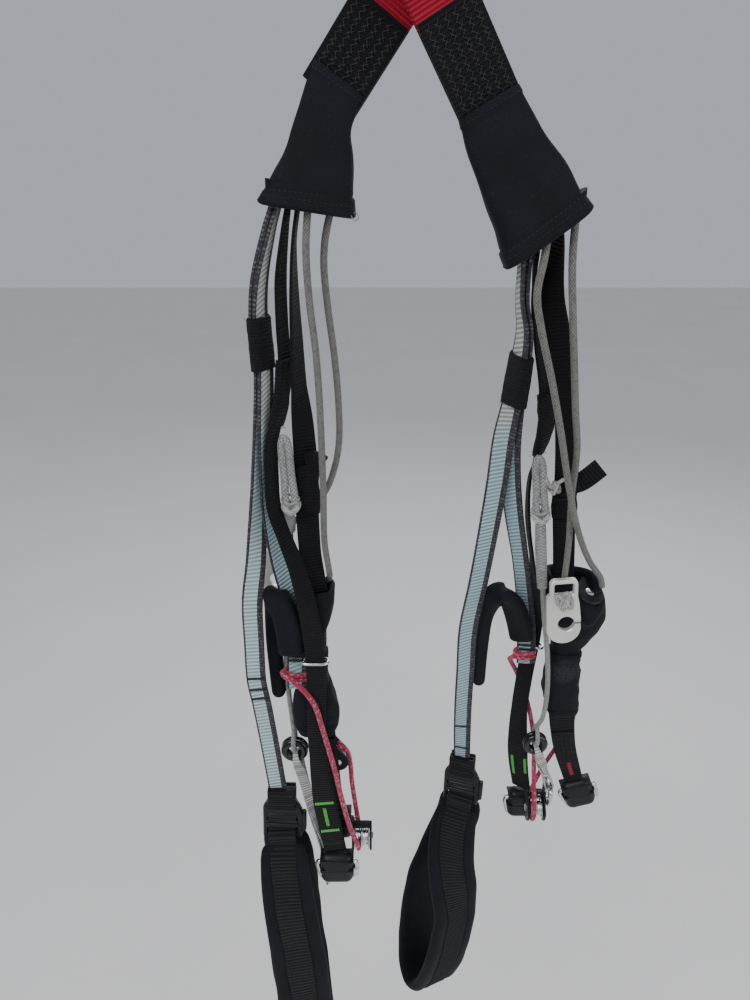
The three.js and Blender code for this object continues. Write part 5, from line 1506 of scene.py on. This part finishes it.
class RISERS_OT_friction_rings(bpy.types.Operator):
    """Low-friction rings with their pale loops and small links"""

    bl_idname = "risers.friction_rings"
    bl_label = "Low-friction rings"

    def execute(self, context):
        half = [(3.4, 0), (3.5, -1), (3.8, -1.9), (4.3, -2.7), (5, -3.3), (5.8, -3.6), (6.7, -3.55),
                (7.5, -3.2), (8.2, -2.7), (8.6, -2), (8.5, -1.3), (8, -0.7), (7.7, -0.3)]
        profile = half + [(7.6, 0)] + [(r, -d) for r, d in reversed(half[1:])]
        for side, sizes in SIDES.items():
            place = Matrix.Translation(scaled(sizes["ring"]))
            bm = bmesh.new()
            add_spun(bm, profile, place, 64)
            finish_piece(bm, side, "ring_gloss", "Ring gloss", "friction_ring")
            self.loop(side, sizes)
            bm = bmesh.new()
            seat = placed(sizes["ring_link"], (0, 0, 90))
            add_link(bm, seat, 7)
            add_nut(bm, shifted(seat, 6.2, 0, -7.6), 2.9, 6.4)
            finish_piece(bm, side, "ring_link_wire", "Steel", "ring_link")
        return {"FINISHED"}

    def loop(self, side, sizes):
        """A flat woven loop from the ring's bore to its link, sewn together in the middle."""
        length = sizes["ring_loop_length"]
        leg = [(3.6, -3.6, 1.8), (5, -7, 2.5), (3, -13, 3.2), (1.4, -24, 3.2), (1.4, -length + 14, 3.2),
               (2.6, -length + 4, 2.7), (2.4, -length - 1.2, 2.5)]
        rows = [(0, -1.9, 1.6)] + [(-n, s, w) for n, s, w in leg] + [(0, -length - 2.8, 2.5)] + leg[::-1]
        points = [Vector((0, n, s)) * MM for n, s, w in rows]
        ribbon = Ribbon(None, 0.9 * MM, True, points, AXIS_X)
        seat = placed(sizes["ring"], (0, sizes["ring_loop_tilt"], 0))
        places = ribbon.places
        ribbon.share = lambda index: places[index] / len(rows)
        moved(ribbon, seat, 90, (-12, -length + 8))
        bm = bmesh.new()
        add_ribbon(bm, ribbon, lambda share: tape_section(level(rows, share * len(rows), 2) * MM, 0.6 * MM))
        finish_piece(bm, side, "ring_loop_braid", "Pale cord", "ring_loop")
        bm = bmesh.new()
        for spot in put(seat, [(0, 0, z) for z in (-22, -26, -30, -34)]):
            for k in (-1, 0, 1):
                add_stitch(bm, Matrix.Translation(spot + AXIS_Z * k * 0.9 * MM), 7.4 * MM, 0.3 * MM, 20.05)
        finish_piece(bm, side, "ring_loop_sewing", "Grey thread")


def add_link(bm, matrix, wide):
    """A quick link's wire, hung from its upper bar. A small link's bars are plainer."""
    drop = 15
    bend = [(wide - 0.6, -0.9), (wide, -3), (wide - 0.8, -7.6), (wide - 2, 3 - drop)]
    top, bottom = [], []
    if wide < 9:
        bend.append((wide - 4, -drop))
    else:
        bend += [(wide - 3.2, 0.7 - drop), (wide - 5.5, -drop)]
        top, bottom = [(0, 0.2)], [(0, -drop)]
    line = [(3 - wide, 0), *top, (wide - 3, 0), *bend, *bottom, *mirrored(bend)]
    add_tube(bm, None, 1.7 * MM, 16, 0.7 * MM, True, put(matrix, [(x, 0, z) for x, z in line]))


class RISERS_OT_pouches(bpy.types.Operator):
    """Pulley pouches, riser covers and the small strap rings"""

    bl_idname = "risers.pouches"
    bl_label = "Pouches and covers"

    def execute(self, context):
        crease = context.scene.riser_covers.crease
        mouths = {"left": (-46, 16, -318), "right": (115.5, 19, -326)}
        for side, sizes in SIDES.items():
            rows = sizes["pouch"]
            lead = [(2.4, -14), (2.4, -6), (2.6, -1.5), (2.5, 0.4), (1.5, 1.5), (0.2, 1.5), (-0.7, 0.4),
                    (-0.6, -1), (0.1, -2)]
            bm = bmesh.new()
            add_shell(bm, shell_rings(rows, lead, 30, 2, lambda share: 0, 9, crease * 1.5))
            self.open_mouth(bm, scaled(mouths[side]))
            if side == "right":
                self.scoop(bm, scaled(mouths[side]))
            finish_piece(bm, side, "pouch_skin", "Neoprene", "pulley_pouch")
            self.cover(side, sizes, crease)
            bm = bmesh.new()
            seam(bm, rows, 0.1, 0.1)
            finish_piece(bm, side, "pouch_sewing")
            seat = placed(*sizes["strap_ring"])
            line = [(-7.4, 0), (-6.4, -2.3), (0, -3), (6.4, -2.3), (7.4, 0), (6.4, 2.3), (0, 3),
                    (-6.4, 2.3)]
            bm = bmesh.new()
            add_tube(bm, None, 1 * MM, 12, 0.6 * MM, True, put(seat, [(x, y, 0) for x, y in line]))
            finish_piece(bm, side, "strap_ring_wire", "Steel", "strap_ring")
        return {"FINISHED"}

    def open_mouth(self, bm, middle):
        """Presses the pouch's wall in where its pulley lies against it."""
        for vert in bm.verts:
            away = vert.co - middle
            reach = math.sqrt((away.x / 13) ** 2 + (away.y / 15) ** 2 + (away.z / 13) ** 2) / MM
            if reach < 1:
                vert.co.y -= (1 - reach) * 9 * MM

    def scoop(self, bm, middle):
        """Lowers the rim in front of the pulley, which shows there."""
        for vert in bm.verts:
            away = (vert.co - middle) / MM
            near = clamp((2 - away.y) / 7) * clamp((away.z + 24) / 22)
            vert.co.z -= 13 * MM * near * math.exp(-(away.x / 9) ** 2)

    def cover(self, side, sizes, crease):
        """The lower cover, with a hem at both ends and a rubbed patch."""
        rows = sizes["cover"]
        lead = [(1.4, 3.4), (0.2, 4.2), (-0.9, 3.6), (-1, 1.5)]
        tail = [(0.2, -0.9), (1.2, -1.3), (2.2, -0.8), (2.6, 2), (2.7, 5)]
        bm = bmesh.new()
        add_shell(bm, shell_rings(rows, lead, 40, 0, lambda share: 0 if 0.1 <= share <= 0.86 else 0.6, 8,
                                  crease * 1.8, tail))
        piece = finish_piece(bm, side, "cover_skin", "Neoprene", "riser_cover")
        worn = piece.data.attributes.new("wear", "FLOAT", "POINT")
        spot = scaled((110, 26, -388) if side == "right" else (-44, -6, -398))
        for k, vert in enumerate(piece.data.vertices):
            away = vert.co - spot
            reach = math.sqrt((away.x / 10) ** 2 + (away.y / 9) ** 2 + (away.z / 11) ** 2) / MM
            worn.data[k].value = max(0, 1 - reach) ** 0.5 * (0.55 if side == "right" else 0.2)
        bm = bmesh.new()
        seam(bm, rows, 0.85, 0.25)
        seam(bm, rows, 0.11, 0.3)
        finish_piece(bm, side, "cover_sewing")


class RISERS_OT_pulleys(bpy.types.Operator):
    """Pulleys of the pouches and of the rear handle, with their sheaves"""

    bl_idname = "risers.pulleys"
    bl_label = "Pulleys"

    def execute(self, context):
        kinds = {
            "pouch": {"radius": 7, "width": 7, "bore": 1.5, "neck": 8, "rise": 3, "grooves": 1,
                      "finish": "Pale sheave"},
            "twin": {"radius": 8, "width": 9, "bore": 1.6, "neck": 5, "rise": 4, "grooves": 2,
                     "finish": "Steel"},
            "small": {"radius": 6, "width": 6, "bore": 1.4, "neck": 5, "rise": 16, "grooves": 1,
                      "finish": "Steel"},
        }
        for side, sizes in SIDES.items():
            for kind, row in kinds.items():
                seat = placed(*sizes[f"{kind}_pulley"])
                self.cheeks(side, kind, row, seat)
                self.sheave(side, kind, row, seat)
        return {"FINISHED"}

    def cheeks(self, side, kind, row, seat):
        radius = row["radius"] + 1.5
        gap = row["width"] + 1
        top = radius + row["rise"]
        reach = row["neck"] / 2 + 0.5
        rim = arc(0, 0, radius, 180, 360, 28)
        corner = [(reach, top - 1.2), (reach - 1.2, top), (1.2 - reach, top), (-reach, top - 1.2)]
        bm = bmesh.new()
        for face in (-1, 1):
            outlines = [rim + corner]
            if kind == "small":
                outlines.append(arc(0, top - 4.5, 1.5, 0, 345, 14))
            add_plate(bm, outlines, 1.6, 0.45, shifted(seat, 0, face * (gap + 1.6) / 2, 0))
        low = min(row["radius"] + 4.4, top - 2)
        add_block(bm, (row["neck"], gap + 0.2, top - low), shifted(seat, 0, 0, (top + low) / 2), 0.4)
        finish_piece(bm, side, f"{kind}_cheeks", "Black plastic", f"{kind}_pulley")
        outer = gap / 2 + 1.6
        head = row["bore"] + 1.3
        near = [(0, -outer - 1), (head * 0.6, -outer - 0.9), (head, -outer - 0.35), (head, -outer + 0.15),
                (row["bore"] - 0.3, -outer + 0.15)]
        profile = near + [(r, -d) for r, d in reversed(near)]
        bm = bmesh.new()
        add_spun(bm, profile, seat, 24)
        finish_piece(bm, side, f"{kind}_pin", "Steel")

    def sheave(self, side, kind, row, seat):
        radius, half, bore = row["radius"], row["width"] / 2, row["bore"]
        profile = [(bore, -half + 0.2), (bore + 0.3, -half), (radius - 0.4, -half), (radius, -half + 0.3)]
        for k in range(row["grooves"]):
            middle = -half + row["width"] * (k + 0.5) / row["grooves"]
            reach = row["width"] / row["grooves"] * 0.42
            for step in range(9):
                angle = math.pi * step / 8
                profile.append((radius - radius * 0.26 * math.sin(angle), middle - reach * math.cos(angle)))
        profile += [(radius, half - 0.3), (radius - 0.4, half), (bore + 0.3, half), (bore, half - 0.2)]
        bm = bmesh.new()
        add_spun(bm, profile, seat, 48)
        finish_piece(bm, side, f"{kind}_wheel", row["finish"], f"{kind}_sheave", f"{side}_{kind}_sheave")


class RISERS_OT_hooks(bpy.types.Operator):
    """Open hooks on the speed system's ends, with the cord's knot"""

    bl_idname = "risers.hooks"
    bl_label = "Speed hooks"

    def execute(self, context):
        drop, half, hole, shift, slit = 26.5, 10, 4.8, 1.5, 1.2
        low = -40 + half
        opening = math.degrees(math.asin(slit / 2 / hole))
        rim = [(-half + 1, -7.4), (-half, -9)]
        rim += arc(0, low, half, 180, 340, 26)
        rim += [(half, low - 1), (half, -drop - slit / 2)]
        rim += arc(shift, -drop, hole, -opening, opening - 360, 40)
        rim += [(half, -drop + slit / 2), (half, -drop + 3), (9, -13), (8, -8), (8, -2)]
        rim += arc(5, 0, 3, 0, 90, 6) + arc(-5, 0, 3, 90, 180, 6) + [(-8, -2), (-8, -6.4)]
        window = [(-5.6, -5.8), (-4.8, -6.6), (4.8, -6.6), (5.6, -5.8), (5.6, -0.4), (4.8, 0.4),
                  (-4.8, 0.4), (-5.6, -0.4)]
        for side, sizes in SIDES.items():
            seat = placed(*sizes["hook"])
            body = f"{side}_speed_hook"
            bm = bmesh.new()
            add_plate(bm, [rim, window], 4, 0.55, seat)
            finish_piece(bm, side, "hook_plate", "Hook alloy", "speed_hook", body)
            face = -sizes["front"]
            spot = shifted(seat, 0, face * 4, -9.8)
            bm = bmesh.new()
            add_knot(bm, spot, (4.4, 2.6, 4.6), 1.55 * MM)
            finish_piece(bm, side, "hook_knot", "Pale cord", body=body)
        return {"FINISHED"}


class RISERS_OT_ends(bpy.types.Operator):
    """Riser ends: sewn tails, boots and quick links"""

    bl_idname = "risers.ends"
    bl_label = "Riser ends"

    def execute(self, context):
        for side, sizes in SIDES.items():
            first = sizes["a_tail"][0]
            ribbon = Ribbon([(first[0], first[1], first[2] + 4, first[3]), *sizes["a_tail"]], 1.0 * MM)
            bm = bmesh.new()
            layers = [(0, 1, 0, 0.7), (0.12, 0.93, 1.25, 0.6), (0.3, 0.86, -1.25, 0.6)]
            for start, end, shift, thin in layers:
                self.layer(bm, ribbon, start, end, shift, thin)
            finish_piece(bm, side, "a_tail", "Black webbing", "a_end")
            bm = bmesh.new()
            for face in (-1, 1):
                zigzag(bm, ribbon, 0.34 * ribbon.length, 0.8 * ribbon.length, 6 * MM, face * 1.9 * MM, 4)
            finish_piece(bm, side, "a_tail_sewing")
            bm = bmesh.new()
            for face in (-1, 1):
                span = (0.72 * ribbon.length, 0.9 * ribbon.length)
                long_tack(bm, ribbon, span, 0, face * 1.95 * MM, 3.4 * MM)
            finish_piece(bm, side, "a_tail_tack", "Red thread")
            for end, tilt in (("a_end", sizes["a_end_tilt"]), ("b_end", 0)):
                seat = placed(sizes[end], (0, tilt, 0))
                self.boot(side, end, seat)
        return {"FINISHED"}

    def layer(self, bm, ribbon, start, end, shift, thin):
        runs = [run for run in ribbon.runs if start <= run / ribbon.length <= end]
        rings = []
        for run in runs:
            half = (9 - 2.25 * run / ribbon.length) * (1 if shift == 0 else 0.93)
            section = [(a, t + shift * MM) for a, t in tape_section(half * MM, thin * MM)]
            rings.append(ribbon.outline(ribbon.index_at(run), section))
        marks = [a for a, t in tape_section(7.5 * MM, thin * MM)]
        sweep(bm, rings, marks, runs)

    def boot(self, side, end, seat):
        bm = bmesh.new()
        add_block(bm, (22, 11.4, 25), shifted(seat, 0, 0, -4.5), 5.2, 6)
        for z in (-4.5, 4):
            add_block(bm, (22.6, 12, 1.6), shifted(seat, 0, 0, z), 0.7, 3)
        node = end if end == "b_end" else ""
        finish_piece(bm, side, f"{end}_boot", "Black plastic", node)
        bm = bmesh.new()
        add_link(bm, seat, 13)
        add_nut(bm, shifted(seat, 12, 0, -8.6), 3, 6.6)
        finish_piece(bm, side, f"{end}_link", "Steel")


class RISERS_OT_pink_cords(bpy.types.Operator):
    """Pink cords of the rear handle, with their knots"""

    bl_idname = "risers.pink_cords"
    bl_label = "Pink cords"

    def execute(self, context):
        radius = context.scene.riser_cords.pink_radius
        wraps = {"left": ((-59.4, -5.6, -363.5), (7.2, 3.4), 0),
                 "right": ((84.6, 34.2, -377), (6.9, 3.2), 14)}
        for side, sizes in SIDES.items():
            bm = bmesh.new()
            add_tube(bm, sizes["pink_cord"], radius, 12)
            place, (wide, deep), turn = wraps[side]
            seat = placed(place, (0, 0, turn))
            points = []
            turns, steps = 2, 14
            for k in range(turns * steps + 1):
                angle = 2 * math.pi * k / steps
                row = Vector((wide * math.cos(angle), deep * math.sin(angle), 1.8 - 3.3 * k / steps))
                points.append(seat @ (row * MM))
            add_tube(bm, None, radius * 0.85, 10, 0.8 * MM, points=points)
            last = Matrix.Translation(scaled(sizes["pink_cord"][-1]))
            add_knot(bm, last, (3.2, 3, 2.6), radius * 0.75)
            finish_piece(bm, side, "pink_line", "Pink cord", "pink_cord")
        return {"FINISHED"}


class RISERS_OT_control_handles(bpy.types.Operator):
    """Buckles and the padded control handles that swing on their lower bars"""

    bl_idname = "risers.control_handles"
    bl_label = "Control handles"

    def execute(self, context):
        for side, sizes in SIDES.items():
            self.buckle(side, placed(*sizes["buckle"]))
            seat = placed(sizes["buckle"][0], sizes["handle_turn"])
            self.handle(side, sizes, seat)
        return {"FINISHED"}

    def buckle(self, side, seat):
        fork = [(-13, -1.2), (-12.2, -2), (-10.4, -2), (-9.6, -1.2), (-9.6, 7), (-8.6, 8)]
        rim = [*fork, *mirrored(fork), (13.2, 2), (15.2, 5), (15.8, 9), (15.4, 14),
               (14, 20), (12.6, 24), (10.6, 28), (9.4, 31), (9, 39), (8, 40)]
        rim += [(-8, 40), (-9, 39), (-9.4, 31), (-10.6, 28), (-12.6, 24)]
        slot = [(-9.6, 13), (-9, 12.6), (9, 12.6), (9.6, 13), (9.6, 15.6), (9, 16), (-9, 16), (-9.6, 15.6)]
        bm = bmesh.new()
        add_plate(bm, [rim, slot], 4, 0.9, seat)
        blocks = [((22, 6.4, 3.4), (0, 0, 9.4)), ((20, 5.4, 3), (0, 0, 18)), ((18.8, 7, 14), (0, 0, 33)),
                  ((3, 6, 15), (14.6, 0, 12.5))]
        for size, place in blocks:
            add_block(bm, size, shifted(seat, *place), 1.3, 4)
        side_turn = Matrix.Rotation(math.pi / 2, 4, "Z")
        for z, radius, reach in ((0, 2, 12.5), (14.3, 2.5, 9.4), (24.6, 2.3, 11.6)):
            profile = [(0, -reach), (radius - 0.3, -reach), (radius, 0.3 - reach), (radius, reach - 0.3),
                       (radius - 0.3, reach), (0, reach)]
            add_spun(bm, profile, shifted(seat, 0, 0, z) @ side_turn, 28)
        finish_piece(bm, side, "buckle_frame", "Black plastic", "buckle")
        bm = bmesh.new()
        strap = moved(Ribbon([(0, 0, 25, 90), (0, 0, 33, 90), (0, 0, 40.8, 90)], 0.8 * MM), seat)
        for shift in (-3.6 * MM, 3.6 * MM):
            add_tape(bm, strap, 9 * MM, 0.8 * MM, shift)
        finish_piece(bm, side, "buckle_strap", "Black webbing")
        bm = bmesh.new()
        for face in (-1, 1):
            for run in (4, 12):
                bartack(bm, strap, run * MM, 7.4 * MM, face * 4.4 * MM, 1.8 * MM, 0.25 * MM)
        finish_piece(bm, side, "buckle_sewing")

    def handle(self, side, sizes, seat):
        """A webbing loop over the bar, and the pad that hangs from it."""
        body = f"{side}_control_handle"
        leg = [(4.2, 2.6, 16.5, 3), (4.3, -2.4, 17, 3), (6.2, -6.6, 29, 4.5), (8, -14, 32, 6),
               (11, -28, 34, 6.5), (15, -50, 36, 7), (19, -78, 37, 7.5), (22, -110, 38, 8),
               (22, -145, 39, 8), (18, -178, 40, 8), (10, -203, 40, 8)]
        rows = [(0, 4.9, 16.5, 3)] + [(-n, s, w, t) for n, s, w, t in leg] + [(0, -211, 40, 8)] + leg[::-1]
        points = [Vector((0, n, s)) * MM for n, s, w, t in rows]
        ribbon = Ribbon(None, 0.9 * MM, True, points, AXIS_X)
        places = list(ribbon.places)
        quarter = len(ribbon.points) // 4
        outward = 1 if ribbon.through[quarter].y < 0 else -1
        moved(ribbon, seat, sizes["handle_twist"], (-12, -110))

        def size_at(index):
            return level(rows, places[index], 2), level(rows, places[index], 3)

        start = next(k for k, place in enumerate(places) if place >= 2.3)
        end = next(k for k, place in enumerate(places) if place >= len(rows) - 2.3)
        rings, runs = [], []
        for k in range(start, end + 1, 2):
            wide, thick = (max(size, least) for size, least in zip(size_at(k), (28, 4.4)))
            edge = min(ribbon.runs[k] - ribbon.runs[start], ribbon.runs[end] - ribbon.runs[k]) / (6 * MM)
            full = rounded(edge)
            half, deep = wide / 2 * (0.84 + 0.16 * full), (thick / 2 + 0.6) * (0.4 + 0.6 * full)
            section = [(a * half * MM, t * deep * MM) for a, t in grooved_section(outward)]
            rings.append(creased(ribbon.outline(k, section), *PAD_FOLDS))
            runs.append(ribbon.runs[k])
        bm = bmesh.new()
        sweep(bm, rings, [a * 20 * MM for a, t in grooved_section(outward)], runs)
        pad = finish_piece(bm, side, "handle_pad", "Neoprene", "control_handle", body)
        pad.modifiers.new("Soft surface", "SUBSURF").levels = 1
        pad.modifiers["Soft surface"].render_levels = 1
        self.strap(side, ribbon, size_at, start, end, body, outward)

    def strap(self, side, ribbon, size_at, start, end, body, outward):
        """The ribbed webbing that lies in the pad's groove, and its rows of sewing."""
        rings, lifts = [], []
        for k in range(len(ribbon.points)):
            wide, thick = size_at(k)
            inside = clamp(min(k - start, end - k) / 8)
            lift = outward * inside * ((thick / 2 + 0.6) * 0.72 + 0.1)
            rib = 0.28 * math.sin(2 * math.pi * ribbon.runs[k] / RIB_PITCH) * inside
            tape = tape_section(9.3 - 0.3 * inside, 1.4 - 0.3 * inside + rib)
            ring = ribbon.outline(k, [(a * MM, (t + lift) * MM) for a, t in tape])
            rings.append(creased(ring, PAD_FOLDS[0], PAD_FOLDS[1] * inside))
            lifts.append(lift * MM)
        bm = bmesh.new()
        sweep(bm, rings, [a * MM for a, t in tape_section(9, 1)], ribbon.runs, True)
        finish_piece(bm, side, "handle_webbing", "Ribbed webbing", body=body)
        bm = bmesh.new()
        for k in range(start + 12, end - 12, 3):
            for wide in (-7.6, 7.6):
                spot = ribbon.spot(ribbon.runs[k], wide * MM, lifts[k] + outward * 1.25 * MM)
                add_stitch(bm, spot, 2 * MM, 0.24 * MM, 90)
        finish_piece(bm, side, "handle_sewing", body=body)


# Stage

class RISERS_OT_stage(bpy.types.Operator):
    """Pale floor, soft lights and the camera"""

    bl_idname = "risers.stage"
    bl_label = "Stage"

    def execute(self, context):
        stage = context.scene.riser_stage
        bm = bmesh.new()
        bmesh.ops.create_grid(bm, x_segments=2, y_segments=2, size=9)
        bmesh.ops.translate(bm, vec=(0, 0, stage.floor_height), verts=bm.verts[:])
        mesh = bpy.data.meshes.new("floor")
        bm.to_mesh(mesh)
        bm.free()
        mesh.materials.append(finish("Pale floor"))
        floor = bpy.data.objects.new("floor", mesh)
        context.scene.collection.objects.link(floor)
        world = bpy.data.worlds.new("Soft room")
        world.use_nodes = True
        back = world.node_tree.nodes["Background"]
        back.inputs["Color"].default_value = (0.86, 0.9, 1, 1)
        back.inputs["Strength"].default_value = 0.5
        context.scene.world = world
        lights = [
            ("key", (-1.1, -1.5, 1.3), 1.5, stage.light_power),
            ("fill", (1.5, -1.2, 0.1), 1.6, stage.light_power * 0.42),
            ("rim", (0.6, 1.8, 0.9), 1.4, stage.light_power * 0.6),
        ]
        for name, place, size, power in lights:
            lamp = bpy.data.lights.new(name, "AREA")
            lamp.size = size
            lamp.energy = power
            light = bpy.data.objects.new(name, lamp)
            light.location = place
            light.rotation_euler = (LIGHT_AIM - Vector(place)).to_track_quat("-Z", "Y").to_euler()
            context.scene.collection.objects.link(light)
        lens = bpy.data.cameras.new("camera")
        lens.lens = stage.lens
        lens.clip_start = 0.02
        camera = bpy.data.objects.new("camera", lens)
        camera.location = CAMERA_PLACE
        camera.rotation_euler = (math.pi / 2 - stage.pitch, 0, 0)
        context.scene.collection.objects.link(camera)
        context.scene.camera = camera
        return {"FINISHED"}


class RISERS_PT_panel(bpy.types.Panel):
    """Lists the pieces of the riser pair"""

    bl_idname = "RISERS_PT_panel"
    bl_label = "Riser pair"
    bl_space_type = "VIEW_3D"
    bl_region_type = "UI"
    bl_category = "Risers"

    def draw(self, context):
        for name, group in SETTINGS.items():
            box = self.layout.box()
            for label in group.__annotations__:
                box.prop(getattr(context.scene, name), label)
        for operator in OPERATORS:
            self.layout.operator(operator.bl_idname)


SETTINGS = {
    "riser_webbing": WebbingSettings,
    "riser_covers": CoverSettings,
    "riser_cords": CordSettings,
    "riser_hardware": HardwareSettings,
    "riser_stage": StageSettings,
}
OPERATORS = (
    RISERS_OT_trunks, RISERS_OT_sleeves, RISERS_OT_tapes, RISERS_OT_load_straps, RISERS_OT_rear_handles,
    RISERS_OT_speed_cords, RISERS_OT_friction_rings, RISERS_OT_pouches, RISERS_OT_pulleys, RISERS_OT_hooks,
    RISERS_OT_ends, RISERS_OT_pink_cords, RISERS_OT_control_handles, RISERS_OT_stage,
)


def register():
    for group in SETTINGS.values():
        bpy.utils.register_class(group)
    for name, group in SETTINGS.items():
        setattr(bpy.types.Scene, name, PointerProperty(type=group))
    for operator in OPERATORS:
        bpy.utils.register_class(operator)
    bpy.utils.register_class(RISERS_PT_panel)


def unregister():
    bpy.utils.unregister_class(RISERS_PT_panel)
    for operator in reversed(OPERATORS):
        bpy.utils.unregister_class(operator)
    for name, group in SETTINGS.items():
        delattr(bpy.types.Scene, name)
        bpy.utils.unregister_class(group)


def main():
    noise.seed_set(FOLD_SEED)
    register()
    for operator in OPERATORS:
        family, name = operator.bl_idname.split(".")
        getattr(getattr(bpy.ops, family), name)()


if __name__ == "__main__":
    main()
